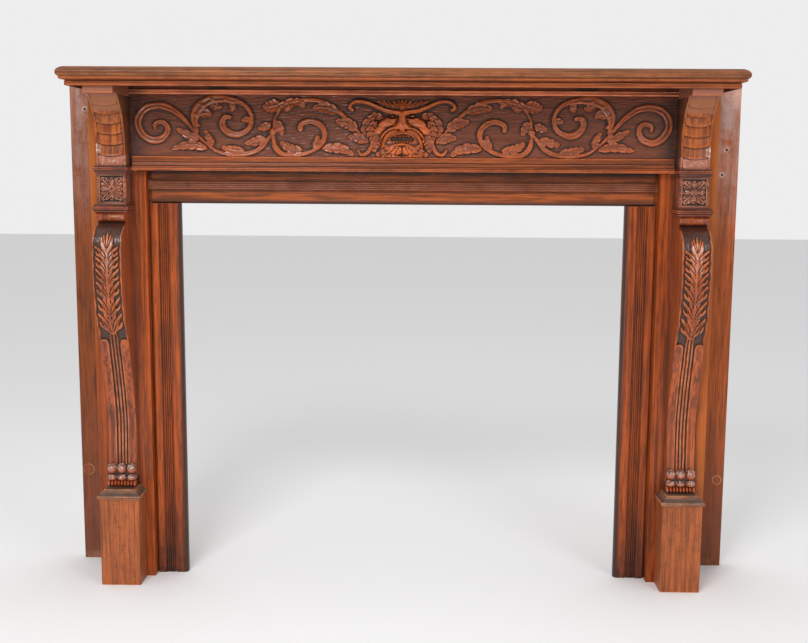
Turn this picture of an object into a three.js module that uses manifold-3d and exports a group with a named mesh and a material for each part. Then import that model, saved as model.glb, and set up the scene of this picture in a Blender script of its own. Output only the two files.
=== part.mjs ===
import * as THREE from 'three';
import Module from 'manifold-3d';
import { mergeVertices } from 'three/addons/utils/BufferGeometryUtils.js';

const wasm = await Module();
wasm.setup();

// A carved oak fireplace mantel, in millimetres, +Z up, seen from the front along +Y.
// The origin is on the floor, in the middle of the width and of the depth.

// Fire opening
const openingWidth = 1067;
const openingHeight = 925;

// Boards and the clearance between touching pieces
const clearance = 0.3;
const boardThickness = 22;

// Depth of the whole, from the wall to the shelf's nosing
const shelfDepth = 306;

// Jambs and lintel: a moulded frame round the opening, lapped behind the pilasters
const jambVisibleWidth = 75.5;
const frameLap = 30;
const lintelVisibleHeight = 78;
const lintelEndGap = 8;
const endGapDepth = 7;
const edgeRadius = 10;
const innerBandShare = 0.26;
const reedBandShare = 0.26;
const outerBandShare = 0.29;
const reedCount = 4;
const bandSink = 2;
const reedSink = 5;
const quirkWidth = 3;
const quirkSink = 8;
const reedRise = 1.8;
const reedValley = 0.6;
const jambHiddenEdge = 3;

// Pilasters
const pilasterWidth = 133;
const pilasterThickness = 25;
const pilasterProjection = 146;
const returnThickness = 22;

// Back boards, nailed to the wall
const backBoardWidth = 134;
const backBoardReach = 82;

// Columns, from the floor up
const columnWidth = 68;
const columnShift = 2;
const plinthHeight = 216;
const plinthWidth = 95;
const plinthProjection = 65;
const plinthCapHeight = 22.5;
const plinthCapEdge = 6.5;
const plinthCapOverhang = 5;
const plinthCapTable = 3;
const pawHeight = 59;
const pawProjection = 41.5;
const pawOverhang = 1;
const knuckleHeight = 15;
const toeCount = 3;
const clawCount = 7;
const clawHeight = 9;
const legDrop = 22;
const rollRadius = 8.5;
const rollOverhang = 0.5;
const lowerCapHeight = 22.5;
const lowerCapOverhang = 8;
const lowerCapProjection = 67;
const rosetteBlockHeight = 69.5;
const rosetteBlockProjection = 48.5;
const rosetteMargin = 7.5;
const rosetteSink = 6;
const rosetteButton = 4.5;
const upperCapHeight = 20;
const upperCapOverhang = 5.5;
const upperCapProjection = 58;
const corbelFootProjection = 46;
const corbelHeadProjection = 107;
const corbelBlockProjection = 137;
const corbelBlockHeight = 34.5;
const corbelHollow = 3.4;
const corbelRimWidth = 5;
const corbelFieldSink = 4;
const scaleCount = 7;
const scaleRise = 4.5;
const scaleBow = 3;

// Frieze
const lowerRailHeight = 33.5;
const lowerRailProud = 7;
const lowerMouldingProud = 19;
const lowerMouldingShare = 0.58;
const carvedHeight = 144.5;
const topStripHeight = 10.5;
const topStripProud = 7;
const friezeHeadHeight = 18;
const reliefHeight = 7;
const maskHeight = 17;
const mouthFloor = 3;

// Shelf and its bed moulding
const shelfThickness = 22;
const shelfEndOverhang = 23;
const bedMouldingHeight = 19.5;
const bedMouldingInset = 17;
const nosingRound = 13;
const nosingLip = 4;
const bedMouldingSetback = 5;
const fillet = 1.5;

// Places worked out from the sizes above
const wallY = shelfDepth / 2;
const shelfFrontY = -shelfDepth / 2;
const backBoardFrontY = wallY - boardThickness;
const pilasterFrontY = wallY - pilasterProjection;
const frameFrontY = pilasterFrontY + pilasterThickness + clearance;
const pilasterIn = openingWidth / 2 + jambVisibleWidth;
const pilasterOut = pilasterIn + pilasterWidth;
const columnX = (pilasterIn + pilasterOut) / 2 + columnShift;
const columnInnerX = columnX - columnWidth / 2;
const friezeBottomZ = openingHeight + lintelVisibleHeight;
const carvedBottomZ = friezeBottomZ + lowerRailHeight;
const carvedTopZ = carvedBottomZ + carvedHeight;
const shelfBottomZ = carvedTopZ + topStripHeight + friezeHeadHeight;
const shelfTopZ = shelfBottomZ + shelfThickness;
const shelfHalfWidth = pilasterOut + shelfEndOverhang;
const carvedHalfLength = columnInnerX - clearance;
const legBottomZ = plinthHeight + plinthCapHeight;
const lowerCapBottomZ = openingHeight - legDrop;
const rosetteBottomZ = lowerCapBottomZ + lowerCapHeight;
const upperCapBottomZ = rosetteBottomZ + rosetteBlockHeight;
const corbelBottomZ = upperCapBottomZ + upperCapHeight;
const corbelBlockZ = shelfBottomZ - corbelBlockHeight;

// Finishes
const finishes = {
  polished: new THREE.MeshStandardMaterial({ color: 0x9a5428, roughness: 0.42, metalness: 0 }),
  carved: new THREE.MeshStandardMaterial({ color: 0x84462a, roughness: 0.45, metalness: 0 }),
  plinth: new THREE.MeshStandardMaterial({ color: 0x9c5834, roughness: 0.5, metalness: 0 }),
  dull: new THREE.MeshStandardMaterial({ color: 0x6e4430, roughness: 0.65, metalness: 0 }),
};

const mantel = new THREE.Group();

// General helpers

function closedBody(points, triangles) {
  let volume = 0;
  for (const [a, b, c] of triangles) {
    volume += points[a].dot(new THREE.Vector3().crossVectors(points[b], points[c]));
  }
  const index = volume > 0 ? triangles.flat() : triangles.map(([a, b, c]) => [a, c, b]).flat();
  const geometry = new THREE.BufferGeometry();
  geometry.setAttribute('position', new THREE.Float32BufferAttribute(points.flatMap((p) => p.toArray()), 3));
  geometry.setIndex(index);
  return geometry;
}

function endFan(count) {
  const fan = [];
  for (let side = 1; side < count - 1; side += 1) {
    fan.push([0, side, side + 1]);
  }
  return fan;
}

// Joins loops of equally many points into one closed body; faces of the end loops come from endTriangles.
function loftedBody(loops, endTriangles = endFan(loops[0].length)) {
  const count = loops[0].length;
  const last = (loops.length - 1) * count;
  const triangles = [];
  for (let step = 0; step < loops.length - 1; step += 1) {
    for (let side = 0; side < count; side += 1) {
      const next = (side + 1) % count;
      const here = step * count;
      const there = here + count;
      triangles.push([here + side, here + next, there + next]);
      triangles.push([here + side, there + next, there + side]);
    }
  }
  for (const [a, b, c] of endTriangles) {
    triangles.push([a, c, b]);
    triangles.push([last + a, last + b, last + c]);
  }
  return closedBody(loops.flat(), triangles);
}

function box(x0, x1, y0, y1, z0, z1) {
  const geometry = new THREE.BoxGeometry(x1 - x0, y1 - y0, z1 - z0);
  geometry.translate((x0 + x1) / 2, (y0 + y1) / 2, (z0 + z1) / 2);
  return geometry;
}

function shapeOf(corners) {
  return new THREE.Shape(corners.map(([u, v]) => new THREE.Vector2(u, v)));
}

// A section given as [y, z] corners, run along X from x0 to x1.
function runAlongX(corners, x0, x1) {
  const geometry = new THREE.ExtrudeGeometry(shapeOf(corners), { depth: x1 - x0, bevelEnabled: false });
  const turn = new THREE.Matrix4().makeBasis(
    new THREE.Vector3(0, 1, 0),
    new THREE.Vector3(0, 0, 1),
    new THREE.Vector3(1, 0, 0),
  );
  geometry.applyMatrix4(turn);
  geometry.translate(x0, 0, 0);
  return geometry;
}

// A section given as [x, y] corners, run up Z from z0 to z1.
function runUp(corners, z0, z1) {
  const geometry = new THREE.ExtrudeGeometry(shapeOf(corners), { depth: z1 - z0, bevelEnabled: false });
  geometry.translate(0, 0, z0);
  return geometry;
}

// An outline given as [x, z] corners, with its faces at y0 and y1.
function boardAcross(corners, y0, y1) {
  const geometry = new THREE.ExtrudeGeometry(shapeOf(corners), { depth: y1 - y0, bevelEnabled: false });
  geometry.rotateX(Math.PI / 2);
  geometry.translate(0, y1, 0);
  return geometry;
}

// A stack of level rectangles: each level is [how far in from the widest outline, z]. The back stays flat.
function moulded(halfWidth, centreX, frontY, backY, levels) {
  const loops = levels.map(([inset, z]) => {
    const left = centreX - halfWidth + inset;
    const right = centreX + halfWidth - inset;
    const front = frontY + inset;
    return [
      new THREE.Vector3(left, front, z),
      new THREE.Vector3(right, front, z),
      new THREE.Vector3(right, backY, z),
      new THREE.Vector3(left, backY, z),
    ];
  });
  return loftedBody(loops);
}

function toManifold(source) {
  const plain = source.clone();
  plain.deleteAttribute('normal');
  plain.deleteAttribute('uv');
  const merged = mergeVertices(plain, 1e-4);
  return new wasm.Manifold(new wasm.Mesh({
    numProp: 3,
    vertProperties: new Float32Array(merged.attributes.position.array),
    triVerts: new Uint32Array(merged.index.array),
  }));
}

function fromManifold(solid) {
  const mesh = solid.getMesh();
  const geometry = new THREE.BufferGeometry();
  geometry.setAttribute('position', new THREE.Float32BufferAttribute(mesh.vertProperties, 3));
  geometry.setIndex(Array.from(mesh.triVerts));
  return geometry;
}

function joined(geometries) {
  return fromManifold(geometries.map(toManifold).reduce((whole, piece) => whole.add(piece)));
}

function cut(geometry, cutters) {
  const whole = toManifold(geometry);
  return fromManifold(cutters.map(toManifold).reduce((rest, piece) => rest.subtract(piece), whole));
}

function mirrored(source) {
  const geometry = source.index ? source.clone() : mergeVertices(source.clone());
  geometry.scale(-1, 1, 1);
  const order = geometry.index.array;
  for (let corner = 0; corner < order.length; corner += 3) {
    const second = order[corner + 1];
    order[corner + 1] = order[corner + 2];
    order[corner + 2] = second;
  }
  return geometry;
}

function addPiece(name, geometry, finish) {
  geometry.computeVertexNormals();
  const mesh = new THREE.Mesh(geometry, finish);
  mesh.name = name;
  mantel.add(mesh);
}

// Pieces are drawn for the right-hand side, and the left-hand one is its mirror image.
function addPair(name, geometry, finish) {
  addPiece(`${name}_right`, geometry, finish);
  addPiece(`${name}_left`, mirrored(geometry), finish);
}

// Carving helpers. Relief coordinates are [across, up] on the ground, with the height over it;
// onto() places them in space.

function smoothLine(points) {
  return new THREE.SplineCurve(points.map(([across, up]) => new THREE.Vector2(across, up)));
}

function valueAlong(values, share) {
  const place = share * (values.length - 1);
  const first = Math.min(Math.floor(place), values.length - 2);
  return THREE.MathUtils.lerp(values[first], values[first + 1], place - first);
}

// Places along a curve, closer together where it bends more.
function placesAlong(curve, steps, samples = 240) {
  const bendWeight = 2.2;
  const length = curve.getLength();
  const effort = [0];
  for (let sample = 1; sample <= samples; sample += 1) {
    const before = curve.getTangentAt((sample - 1) / samples);
    const here = curve.getTangentAt(sample / samples);
    const bend = Math.abs(before.angleTo(here));
    effort.push(effort[sample - 1] + 1 / samples + bend * bendWeight / Math.sqrt(length));
  }
  const places = [];
  for (let step = 0; step <= steps; step += 1) {
    const wanted = effort[samples] * step / steps;
    const after = Math.max(effort.findIndex((sum) => sum >= wanted - 1e-9), 1);
    const between = (wanted - effort[after - 1]) / (effort[after] - effort[after - 1]);
    places.push(Math.min((after - 1 + between) / samples, 1));
  }
  return places;
}

// A rounded stem with four corners in its section. Half widths are spread evenly along the line.
function stem({ line, halfWidths, height, steps, onto, sink = 1.5 }) {
  const curve = smoothLine(line);
  const loops = [];
  for (const share of placesAlong(curve, steps)) {
    const centre = curve.getPointAt(share);
    const along = curve.getTangentAt(share);
    const half = valueAlong(halfWidths, share);
    const crest = half * 0.55;
    loops.push([[-half, -sink], [-crest, height], [crest, height], [half, -sink]].map(([side, level]) =>
      onto(centre.x - along.y * side, centre.y + along.x * side, level)));
  }
  return loftedBody(loops);
}

// A ridged leaf with lobes down both sides; the lobes' points lean towards the leaf's tip.
function leaf({ line, halfWidth, height, lobes, onto, sink = 1.5 }) {
  const curve = smoothLine(line);
  const length = curve.getLength();
  const loops = [];
  const steps = lobes * 2;
  for (let step = 0; step <= steps; step += 1) {
    const share = step / steps;
    const centre = curve.getPointAt(share);
    const along = curve.getTangentAt(share);
    const onLobe = step % 2 === 1;
    const swell = 0.2 + 0.8 * Math.sin(Math.PI * Math.pow(share, 0.8));
    const half = Math.max(halfWidth * swell * (onLobe ? 1.35 : 0.75), 0.6);
    const lean = onLobe ? length * 0.3 / steps : 0;
    const crest = height * (0.45 + 0.55 * Math.sin(Math.PI * Math.min(share + 0.2, 1)));
    const side = (offset) => onto(
      centre.x - along.y * offset + along.x * lean,
      centre.y + along.x * offset + along.y * lean,
      -sink,
    );
    loops.push([side(-half), onto(centre.x, centre.y, crest), side(half)]);
  }
  return loftedBody(loops);
}

// A low dome on an oval foot.
function dome({ at, reach, height, onto, around = 6, rings = 4, lift = 0 }) {
  const geometry = mergeVertices((() => {
    const ball = new THREE.SphereGeometry(1, around, rings);
    ball.deleteAttribute('normal');
    ball.deleteAttribute('uv');
    return ball;
  })());
  const points = [];
  const position = geometry.attributes.position;
  for (let vertex = 0; vertex < position.count; vertex += 1) {
    points.push(onto(
      at[0] + position.getX(vertex) * reach[0],
      at[1] + position.getY(vertex) * reach[1],
      position.getZ(vertex) * height + lift,
    ));
  }
  const order = geometry.index.array;
  const triangles = [];
  for (let corner = 0; corner < order.length; corner += 3) {
    triangles.push([order[corner], order[corner + 1], order[corner + 2]]);
  }
  return closedBody(points, triangles);
}

// Shelf and its bed moulding

function shelf() {
  const levels = [
    [nosingLip, shelfBottomZ + clearance],
    [0, shelfBottomZ + nosingLip],
    [0, shelfBottomZ + shelfThickness * 0.5],
    [nosingRound * 0.23, shelfTopZ - shelfThickness * 0.27],
    [nosingRound * 0.54, shelfTopZ - shelfThickness * 0.14],
    [nosingRound, shelfTopZ],
  ];
  return moulded(shelfHalfWidth, 0, shelfFrontY, wallY, levels);
}

// The bed moulding's section, as [inset from the nosing, z], with a flat back.
function bedSection(backInset) {
  const top = shelfBottomZ;
  const tall = bedMouldingHeight;
  const front = bedMouldingSetback;
  const hollow = bedMouldingInset - front;
  return [
    [backInset, top],
    [front, top],
    [front, top - tall * 0.26],
    [front + hollow * 0.25, top - tall * 0.44],
    [front + hollow * 0.67, top - tall * 0.59],
    [bedMouldingInset, top - tall * 0.62],
    [bedMouldingInset, top - tall],
    [backInset, top - tall],
  ];
}

function endTrianglesOf(section) {
  const contour = section.map(([u, v]) => new THREE.Vector2(u, v));
  return THREE.ShapeUtils.triangulateShape(contour, []);
}

// A moulding length whose ends are cut so that the corner is a mitre.
function bedMouldingFront() {
  const section = bedSection(shelfEndOverhang - clearance);
  const endAt = (sign) => section.map(([inset, z]) =>
    new THREE.Vector3(sign * (shelfHalfWidth - inset - clearance), shelfFrontY + inset, z));
  return loftedBody([endAt(-1), endAt(1)], endTrianglesOf(section));
}

function bedMouldingReturn() {
  const section = bedSection(shelfEndOverhang - clearance);
  const mitre = section.map(([inset, z]) =>
    new THREE.Vector3(shelfHalfWidth - inset, shelfFrontY + inset + clearance, z));
  const wallEnd = section.map(([inset, z]) =>
    new THREE.Vector3(shelfHalfWidth - inset, backBoardFrontY - clearance, z));
  return loftedBody([mitre, wallEnd], endTrianglesOf(section));
}

// Moulded frame round the opening: its section as [distance from the opening, sink behind the front face]

function frameSection(visible, thickness, lap, endGap) {
  const innerBand = edgeRadius + visible * innerBandShare;
  const quirk = innerBand + quirkWidth;
  const reedsEnd = quirk + visible * reedBandShare;
  const outerBand = visible - visible * outerBandShare;
  const corners = [[0, thickness], [0, edgeRadius + bandSink]];
  for (const turn of [Math.PI / 6, Math.PI / 3]) {
    corners.push([
      edgeRadius * (1 - Math.cos(turn)),
      bandSink + edgeRadius * (1 - Math.sin(turn)),
    ]);
  }
  corners.push([edgeRadius, bandSink], [innerBand, bandSink], [innerBand, quirkSink], [quirk, quirkSink]);
  const reedWidth = (reedsEnd - quirk) / reedCount;
  for (let reed = 0; reed < reedCount; reed += 1) {
    const start = quirk + reed * reedWidth;
    corners.push([start + reedWidth * 0.3, reedSink - reedRise]);
    corners.push([start + reedWidth * 0.7, reedSink - reedRise]);
    corners.push([start + reedWidth, reedSink + reedValley]);
  }
  corners.push([outerBand, 0]);
  corners.push([visible - endGap, 0]);
  corners.push([visible - endGap, endGapDepth], [visible + lap, endGapDepth], [visible + lap, thickness]);
  return corners;
}

function jamb() {
  const section = frameSection(jambVisibleWidth, boardThickness, frameLap, jambHiddenEdge);
  const corners = section.map(([out, sink]) => [openingWidth / 2 + out, frameFrontY + sink]);
  return runUp(corners, 0, openingHeight - clearance);
}

function lintel() {
  const section = frameSection(lintelVisibleHeight, boardThickness, frameLap / 2, 0);
  const face = section.map(([out, sink]) => [frameFrontY + sink, openingHeight + out]);
  const half = pilasterIn - lintelEndGap;
  const end = pilasterIn + frameLap;
  const top = openingHeight + lintelVisibleHeight + frameLap / 2;
  const core = box(-end, end, frameFrontY + quirkSink + 1, frameFrontY + boardThickness, openingHeight, top);
  return joined([runAlongX(face, -half, half), core]);
}

// Plain boards

function pilaster() {
  const top = shelfBottomZ - clearance;
  const notch = friezeBottomZ - clearance;
  const corners = [
    [pilasterIn, 0],
    [pilasterOut, 0],
    [pilasterOut, top],
    [columnInnerX, top],
    [columnInnerX, notch],
    [pilasterIn, notch],
  ];
  return boardAcross(corners, pilasterFrontY, pilasterFrontY + pilasterThickness);
}

function pilasterReturn() {
  const front = pilasterFrontY + pilasterThickness + clearance;
  const back = backBoardFrontY - clearance;
  return box(pilasterOut - returnThickness, pilasterOut, front, back, 0, shelfBottomZ - clearance);
}

function backBoard() {
  const outer = pilasterOut + backBoardReach;
  return box(outer - backBoardWidth, outer, backBoardFrontY, wallY, 0, shelfBottomZ - clearance);
}

// Frieze

function friezeTopStrip() {
  const back = pilasterFrontY - clearance;
  const front = pilasterFrontY - topStripProud;
  const top = carvedTopZ + topStripHeight;
  const corners = [
    [back, carvedTopZ],
    [front + fillet, carvedTopZ],
    [front, carvedTopZ + fillet],
    [front, top - fillet],
    [front + fillet, top],
    [back, top],
  ];
  return runAlongX(corners, -carvedHalfLength, carvedHalfLength);
}

function friezeLowerRail() {
  const back = pilasterFrontY - clearance;
  const rail = pilasterFrontY - lowerRailProud;
  const nose = pilasterFrontY - lowerMouldingProud;
  const proud = rail - nose;
  const step = lowerRailHeight * lowerMouldingShare;
  const stepZ = friezeBottomZ + step;
  const corners = [
    [back, carvedBottomZ],
    [rail + fillet, carvedBottomZ],
    [rail, carvedBottomZ - fillet],
    [rail, stepZ],
    [rail - proud * 0.25, stepZ - step * 0.05],
    [rail - proud * 0.25, stepZ - step * 0.2],
    [rail - proud * 0.42, stepZ - step * 0.41],
    [nose + proud * 0.25, stepZ - step * 0.49],
    [nose + proud * 0.25, stepZ - step * 0.57],
    [nose, stepZ - step * 0.67],
    [nose, friezeBottomZ + fillet],
    [nose + fillet, friezeBottomZ],
    [back, friezeBottomZ],
  ];
  const half = columnInnerX - upperCapOverhang - clearance;
  return runAlongX(corners, -half, half);
}

// The carving was laid out on a ground of this half length and height, and keeps its shares of the real one.
const drawnHalfLength = 643;
const drawnHeight = 144.5;

function ontoFrieze(sign) {
  const middleZ = (carvedBottomZ + carvedTopZ) / 2;
  return (across, up, height) => new THREE.Vector3(
    sign * across * carvedHalfLength / drawnHalfLength,
    pilasterFrontY - height,
    middleZ + up * carvedHeight / drawnHeight,
  );
}

// Scroll stems of one half, from the middle outwards.
const vineLine = [
  [304, -18], [316, -30], [333, -50], [353, -62], [382, -67], [412, -67], [438, -59], [456, -47], [470, -35],
  [482, -22], [495, -7], [511, 12], [529, 29], [549, 41], [572, 46], [595, 43], [612, 33], [622, 17], [623, 0],
  [617, -15], [606, -27], [590, -35], [573, -33], [559, -24], [553, -9], [559, 4], [572, 8], [583, 3], [582, -6],
];
const vineWidths = [3.5, 6, 5.5, 5, 4, 3.5, 3.5, 4.5, 6, 7, 7.5, 7.5, 7, 6.5, 6, 5, 4];
const curlLine = [
  [482, -14], [488, 6], [487, 27], [476, 44], [461, 55], [443, 61], [424, 62], [404, 60], [386, 56], [371, 48],
  [360, 35], [354, 18], [358, 0], [369, -13], [386, -20], [405, -18], [419, -7], [424, 7], [418, 19], [406, 20],
];
const curlWidths = [3, 9, 12, 11, 9, 7, 5, 4.5, 5.5, 7, 8, 7.5, 5];
const branchLine = [
  [305, -12], [303, 6], [296, 25], [286, 40], [273, 51], [255, 58], [232, 61], [209, 60], [188, 56], [167, 46],
  [147, 32], [129, 17], [112, -1], [98, -18], [86, -34],
];
const branchWidths = [3, 4, 4.5, 5, 5, 4.5, 4, 3];
const innerLine = [
  [304, -24], [300, -47], [286, -63], [262, -68], [236, -66], [212, -58], [193, -45], [183, -27], [184, -9],
  [195, 4], [211, 11], [227, 10], [239, 3], [240, -8],
];
const innerWidths = [4, 6.5, 5.5, 5, 4.5, 5, 6.5, 7, 6.5, 6];

// Leaves of one half: the line from foot to tip, the half width and the number of lobes.
const scrollLeaves = [
  { line: [[480, -34], [505, -22], [532, -7]], halfWidth: 9, lobes: 2 },
  { line: [[461, -54], [490, -46], [516, -48], [545, -55]], halfWidth: 9.5, lobes: 2 },
  { line: [[322, -26], [345, -36], [371, -42]], halfWidth: 9, lobes: 2 },
  { line: [[370, -60], [396, -59], [427, -49]], halfWidth: 10, lobes: 2 },
  { line: [[309, 6], [324, -3], [342, -7]], halfWidth: 9, lobes: 1 },
  { line: [[285, 53], [304, 46], [329, 43]], halfWidth: 14, lobes: 2 },
  { line: [[301, 12], [290, -2], [281, -21]], halfWidth: 10, lobes: 2 },
  { line: [[262, 56], [268, 45], [273, 33]], halfWidth: 10, lobes: 1 },
  { line: [[150, 33], [180, 43], [211, 42]], halfWidth: 11, lobes: 2 },
  { line: [[106, -10], [127, 6], [157, 12]], halfWidth: 11, lobes: 2 },
  { line: [[86, -38], [104, -26], [128, -27]], halfWidth: 9.5, lobes: 2 },
  { line: [[188, -52], [162, -50], [137, -54], [113, -68]], halfWidth: 10, lobes: 2 },
  { line: [[234, -56], [260, -54], [289, -37]], halfWidth: 10, lobes: 2 },
  { line: [[479, 24], [462, 30], [450, 22]], halfWidth: 10, lobes: 1 },
  { line: [[452, 56], [436, 44], [424, 44]], halfWidth: 9, lobes: 1 },
];

function scrollwork(sign) {
  const onto = ontoFrieze(sign);
  const pieces = [
    stem({ line: vineLine, halfWidths: vineWidths, height: reliefHeight * 0.85, steps: 23, onto }),
    stem({ line: curlLine, halfWidths: curlWidths, height: reliefHeight, steps: 15, onto }),
    stem({ line: branchLine, halfWidths: branchWidths, height: reliefHeight * 0.7, steps: 7, onto }),
    stem({ line: innerLine, halfWidths: innerWidths, height: reliefHeight * 0.9, steps: 11, onto }),
  ];
  for (const one of scrollLeaves) {
    pieces.push(leaf({ ...one, height: reliefHeight, onto }));
  }
  return pieces;
}

// The grotesque mask, one half at a time: heights are shares of the mask's own height.
const browLine = [
  [0, 28], [22, 29], [38, 33], [54, 40], [70, 48], [88, 54], [105, 55], [118, 50], [123, 41], [117, 36],
];
const browWidths = [7, 7, 6, 5, 4.5, 4, 4, 4.5];
const moustacheLine = [[2, -11], [20, -13], [36, -24], [45, -45]];
const moustacheWidths = [4, 7, 7, 4];
const jawCurlLine = [[62, -28], [72, -46], [82, -62], [96, -66], [104, -56]];
const jawCurlWidths = [6, 5, 5, 4, 3];

const lipLine = [[-26, -46], [0, -41], [26, -46]];
const lipWidths = [2.5, 3.5, 2.5];

const maskLeaves = [
  { line: [[15, 33], [21, 46], [26, 60]], halfWidth: 6, lobes: 1, share: 0.55 },
  { line: [[32, 36], [42, 49], [52, 60]], halfWidth: 5.5, lobes: 1, share: 0.45 },
  { line: [[9, 14], [34, 5], [66, -17]], halfWidth: 15, lobes: 2, share: 0.9 },
  { line: [[46, 20], [60, 20], [73, 26]], halfWidth: 6, lobes: 1, share: 0.5 },
  { line: [[62, 24], [80, 12], [87, -12], [82, -40]], halfWidth: 9, lobes: 2, share: 0.4 },
  { line: [[60, 12], [72, -4], [72, -24], [62, -44]], halfWidth: 9, lobes: 1, share: 0.5 },
  { line: [[52, -20], [62, -38], [66, -60]], halfWidth: 11, lobes: 1, share: 0.5 },
  { line: [[8, -57], [34, -60], [62, -66]], halfWidth: 11, lobes: 2, share: 0.7 },
];

function maskHalf(sign) {
  const onto = ontoFrieze(sign);
  const face = maskHeight;
  const pieces = [
    stem({ line: browLine, halfWidths: browWidths, height: face * 0.8, steps: 8, onto }),
    dome({ at: [24, 20], reach: [13, 7], height: face * 0.75, onto }),
    dome({ at: [12, -4], reach: [8, 6.5], height: face * 0.9, onto }),
    stem({ line: moustacheLine, halfWidths: moustacheWidths, height: face * 0.85, steps: 3, onto }),
    stem({ line: jawCurlLine, halfWidths: jawCurlWidths, height: face * 0.45, steps: 4, onto }),
  ];
  for (const { share, ...one } of maskLeaves) {
    pieces.push(leaf({ ...one, height: face * share, onto }));
  }
  return pieces;
}

function maskMiddle() {
  const onto = ontoFrieze(1);
  const face = maskHeight;
  return [
    dome({ at: [0, -14], reach: [64, 50], height: face * 0.5, onto, around: 10 }),
    leaf({ line: [[0, 30], [0, 45], [0, 61]], halfWidth: 8, height: face * 0.6, lobes: 1, onto }),
    stem({ line: [[0, 28], [0, 12], [0, -4]], halfWidths: [6, 7, 11], height: face * 0.95, steps: 2, onto }),
    dome({ at: [0, -3], reach: [10, 7.5], height: face * 1.1, onto }),
    dome({ at: [0, -56], reach: [25, 15], height: face * 0.85, onto }),
    stem({ line: lipLine, halfWidths: lipWidths, height: face * 0.8, steps: 2, onto }),
  ];
}

function friezePanel() {
  const half = carvedHalfLength;
  const board = box(
    -half, half, pilasterFrontY, pilasterFrontY + boardThickness, friezeBottomZ, shelfBottomZ - clearance,
  );
  const pieces = [board, ...maskMiddle()];
  for (const sign of [-1, 1]) {
    pieces.push(...scrollwork(sign), ...maskHalf(sign));
  }
  const onto = ontoFrieze(1);
  const mouth = dome({ at: [0, -31], reach: [25, 8], height: maskHeight * 2, onto });
  const ground = box(
    -half, half, pilasterFrontY - mouthFloor, pilasterFrontY + boardThickness, friezeBottomZ, carvedTopZ,
  );
  const opening = cut(mouth, [ground]);
  const carvingFront = pilasterFrontY - maskHeight * 2;
  const trim = [
    box(-half, half, carvingFront, pilasterFrontY, friezeBottomZ, carvedBottomZ + clearance),
    box(-half, half, carvingFront, pilasterFrontY, carvedTopZ - clearance, shelfBottomZ),
  ];
  return cut(joined(pieces), [opening, ...trim]);
}

// Column pieces, drawn for the right-hand column

function plinth() {
  const half = plinthWidth / 2;
  const front = pilasterFrontY - plinthProjection;
  const top = plinthHeight - clearance;
  return box(columnX - half, columnX + half, front, pilasterFrontY - clearance, 0, top);
}

function plinthCap() {
  const half = plinthWidth / 2 + plinthCapOverhang;
  const front = pilasterFrontY - plinthProjection - plinthCapOverhang;
  const tableInset = half - columnWidth / 2 - plinthCapTable;
  const top = legBottomZ - clearance;
  const levels = [
    [fillet, plinthHeight],
    [0, plinthHeight + fillet],
    [0, plinthHeight + plinthCapEdge],
    [tableInset, top],
  ];
  return moulded(half, columnX, front, pilasterFrontY - clearance, levels);
}

// How far the leg's face stands out from the pilaster, by its share of the leg's height.
const legFace = [
  [0, 22], [0.1, 19.5], [0.165, 17.5], [0.25, 16], [0.32, 23.5], [0.4, 35], [0.485, 52], [0.565, 68.5],
  [0.625, 88], [0.71, 101], [0.785, 106], [0.85, 106], [0.895, 103], [0.925, 95], [0.95, 78], [0.965, 58],
  [0.975, 53],
];
const legFaceCurve = new THREE.SplineCurve(legFace.map(([share, out]) => new THREE.Vector2(share, out)));
const legFaceSamples = legFaceCurve.getPoints(legFace.length * 6);

function legStandOff(share) {
  const after = legFaceSamples.findIndex((sample) => sample.x >= share);
  if (after <= 0) {
    return after === 0 ? legFaceSamples[0].y : legFaceSamples[legFaceSamples.length - 1].y;
  }
  const low = legFaceSamples[after - 1];
  const high = legFaceSamples[after];
  return THREE.MathUtils.mapLinear(share, low.x, high.x, low.y, high.y);
}

// The leg's leaves were laid out on a face of this width.
const drawnLegWidth = 68;

const legHeight = lowerCapBottomZ - legBottomZ - clearance;
const pawShare = pawHeight / legHeight;
const bandEndShare = 0.555;
const leafEndShare = 0.935;
const channelSink = 4.5;
const channelHalf = 14;
const reedSpacing = 7.5;
const legReedRise = 3.2;
const legRim = 4.5;
const leafProud = 1.5;

// Relief on the leg's face: across from its middle, share of its height, height over the sunk ground.
function ontoLeg(across, share, height) {
  return new THREE.Vector3(
    columnX + across * columnWidth / drawnLegWidth,
    pilasterFrontY - legStandOff(share) + channelSink - height,
    legBottomZ + share * legHeight,
  );
}

// The leg's sections at one share of its height, from one back edge round the face to the other. Flat bands
// and thin reeds fill the lower face, and above them only a narrow rim is left beside the sunk ground.
function legOutline(side, middle, share) {
  const outline = [
    ...side.map(([across, out]) => [-across, out]),
    ...middle,
    ...side.toReversed(),
  ];
  const back = pilasterFrontY - clearance;
  const z = legBottomZ + share * legHeight;
  return outline.map(([across, out]) => new THREE.Vector3(columnX + across, back - out, z));
}

function bandedSection(share) {
  const half = columnWidth / 2;
  const face = legStandOff(share);
  const ground = face - channelSink;
  const crest = ground + legReedRise;
  const side = [
    [half, 0],
    [half, face],
    [channelHalf + 1, face],
    [channelHalf, ground],
    [reedSpacing * 1.5, ground],
    [reedSpacing, crest],
    [reedSpacing / 2, ground],
  ];
  return legOutline(side, [[0, crest]], share);
}

function leafySection(share) {
  const half = columnWidth / 2;
  const face = legStandOff(share);
  const side = [[half, 0], [half, face], [half - legRim + 1, face], [half - legRim, face - channelSink]];
  return legOutline(side, [], share);
}

function legLoft(sectionAt, shares) {
  const loops = shares.map(sectionAt);
  const flat = loops[0].map((point) => new THREE.Vector2(point.x, point.y));
  return loftedBody(loops, THREE.ShapeUtils.triangulateShape(flat, []));
}

function legShaft() {
  const banded = [pawShare * 0.5, 0.16, 0.25, 0.33, 0.41, 0.48, bandEndShare];
  const leafy = [bandEndShare, 0.63, 0.7, 0.785, 0.86, 0.915, 0.945, 0.965, 1];
  return [legLoft(bandedSection, banded), legLoft(leafySection, leafy)];
}

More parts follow.
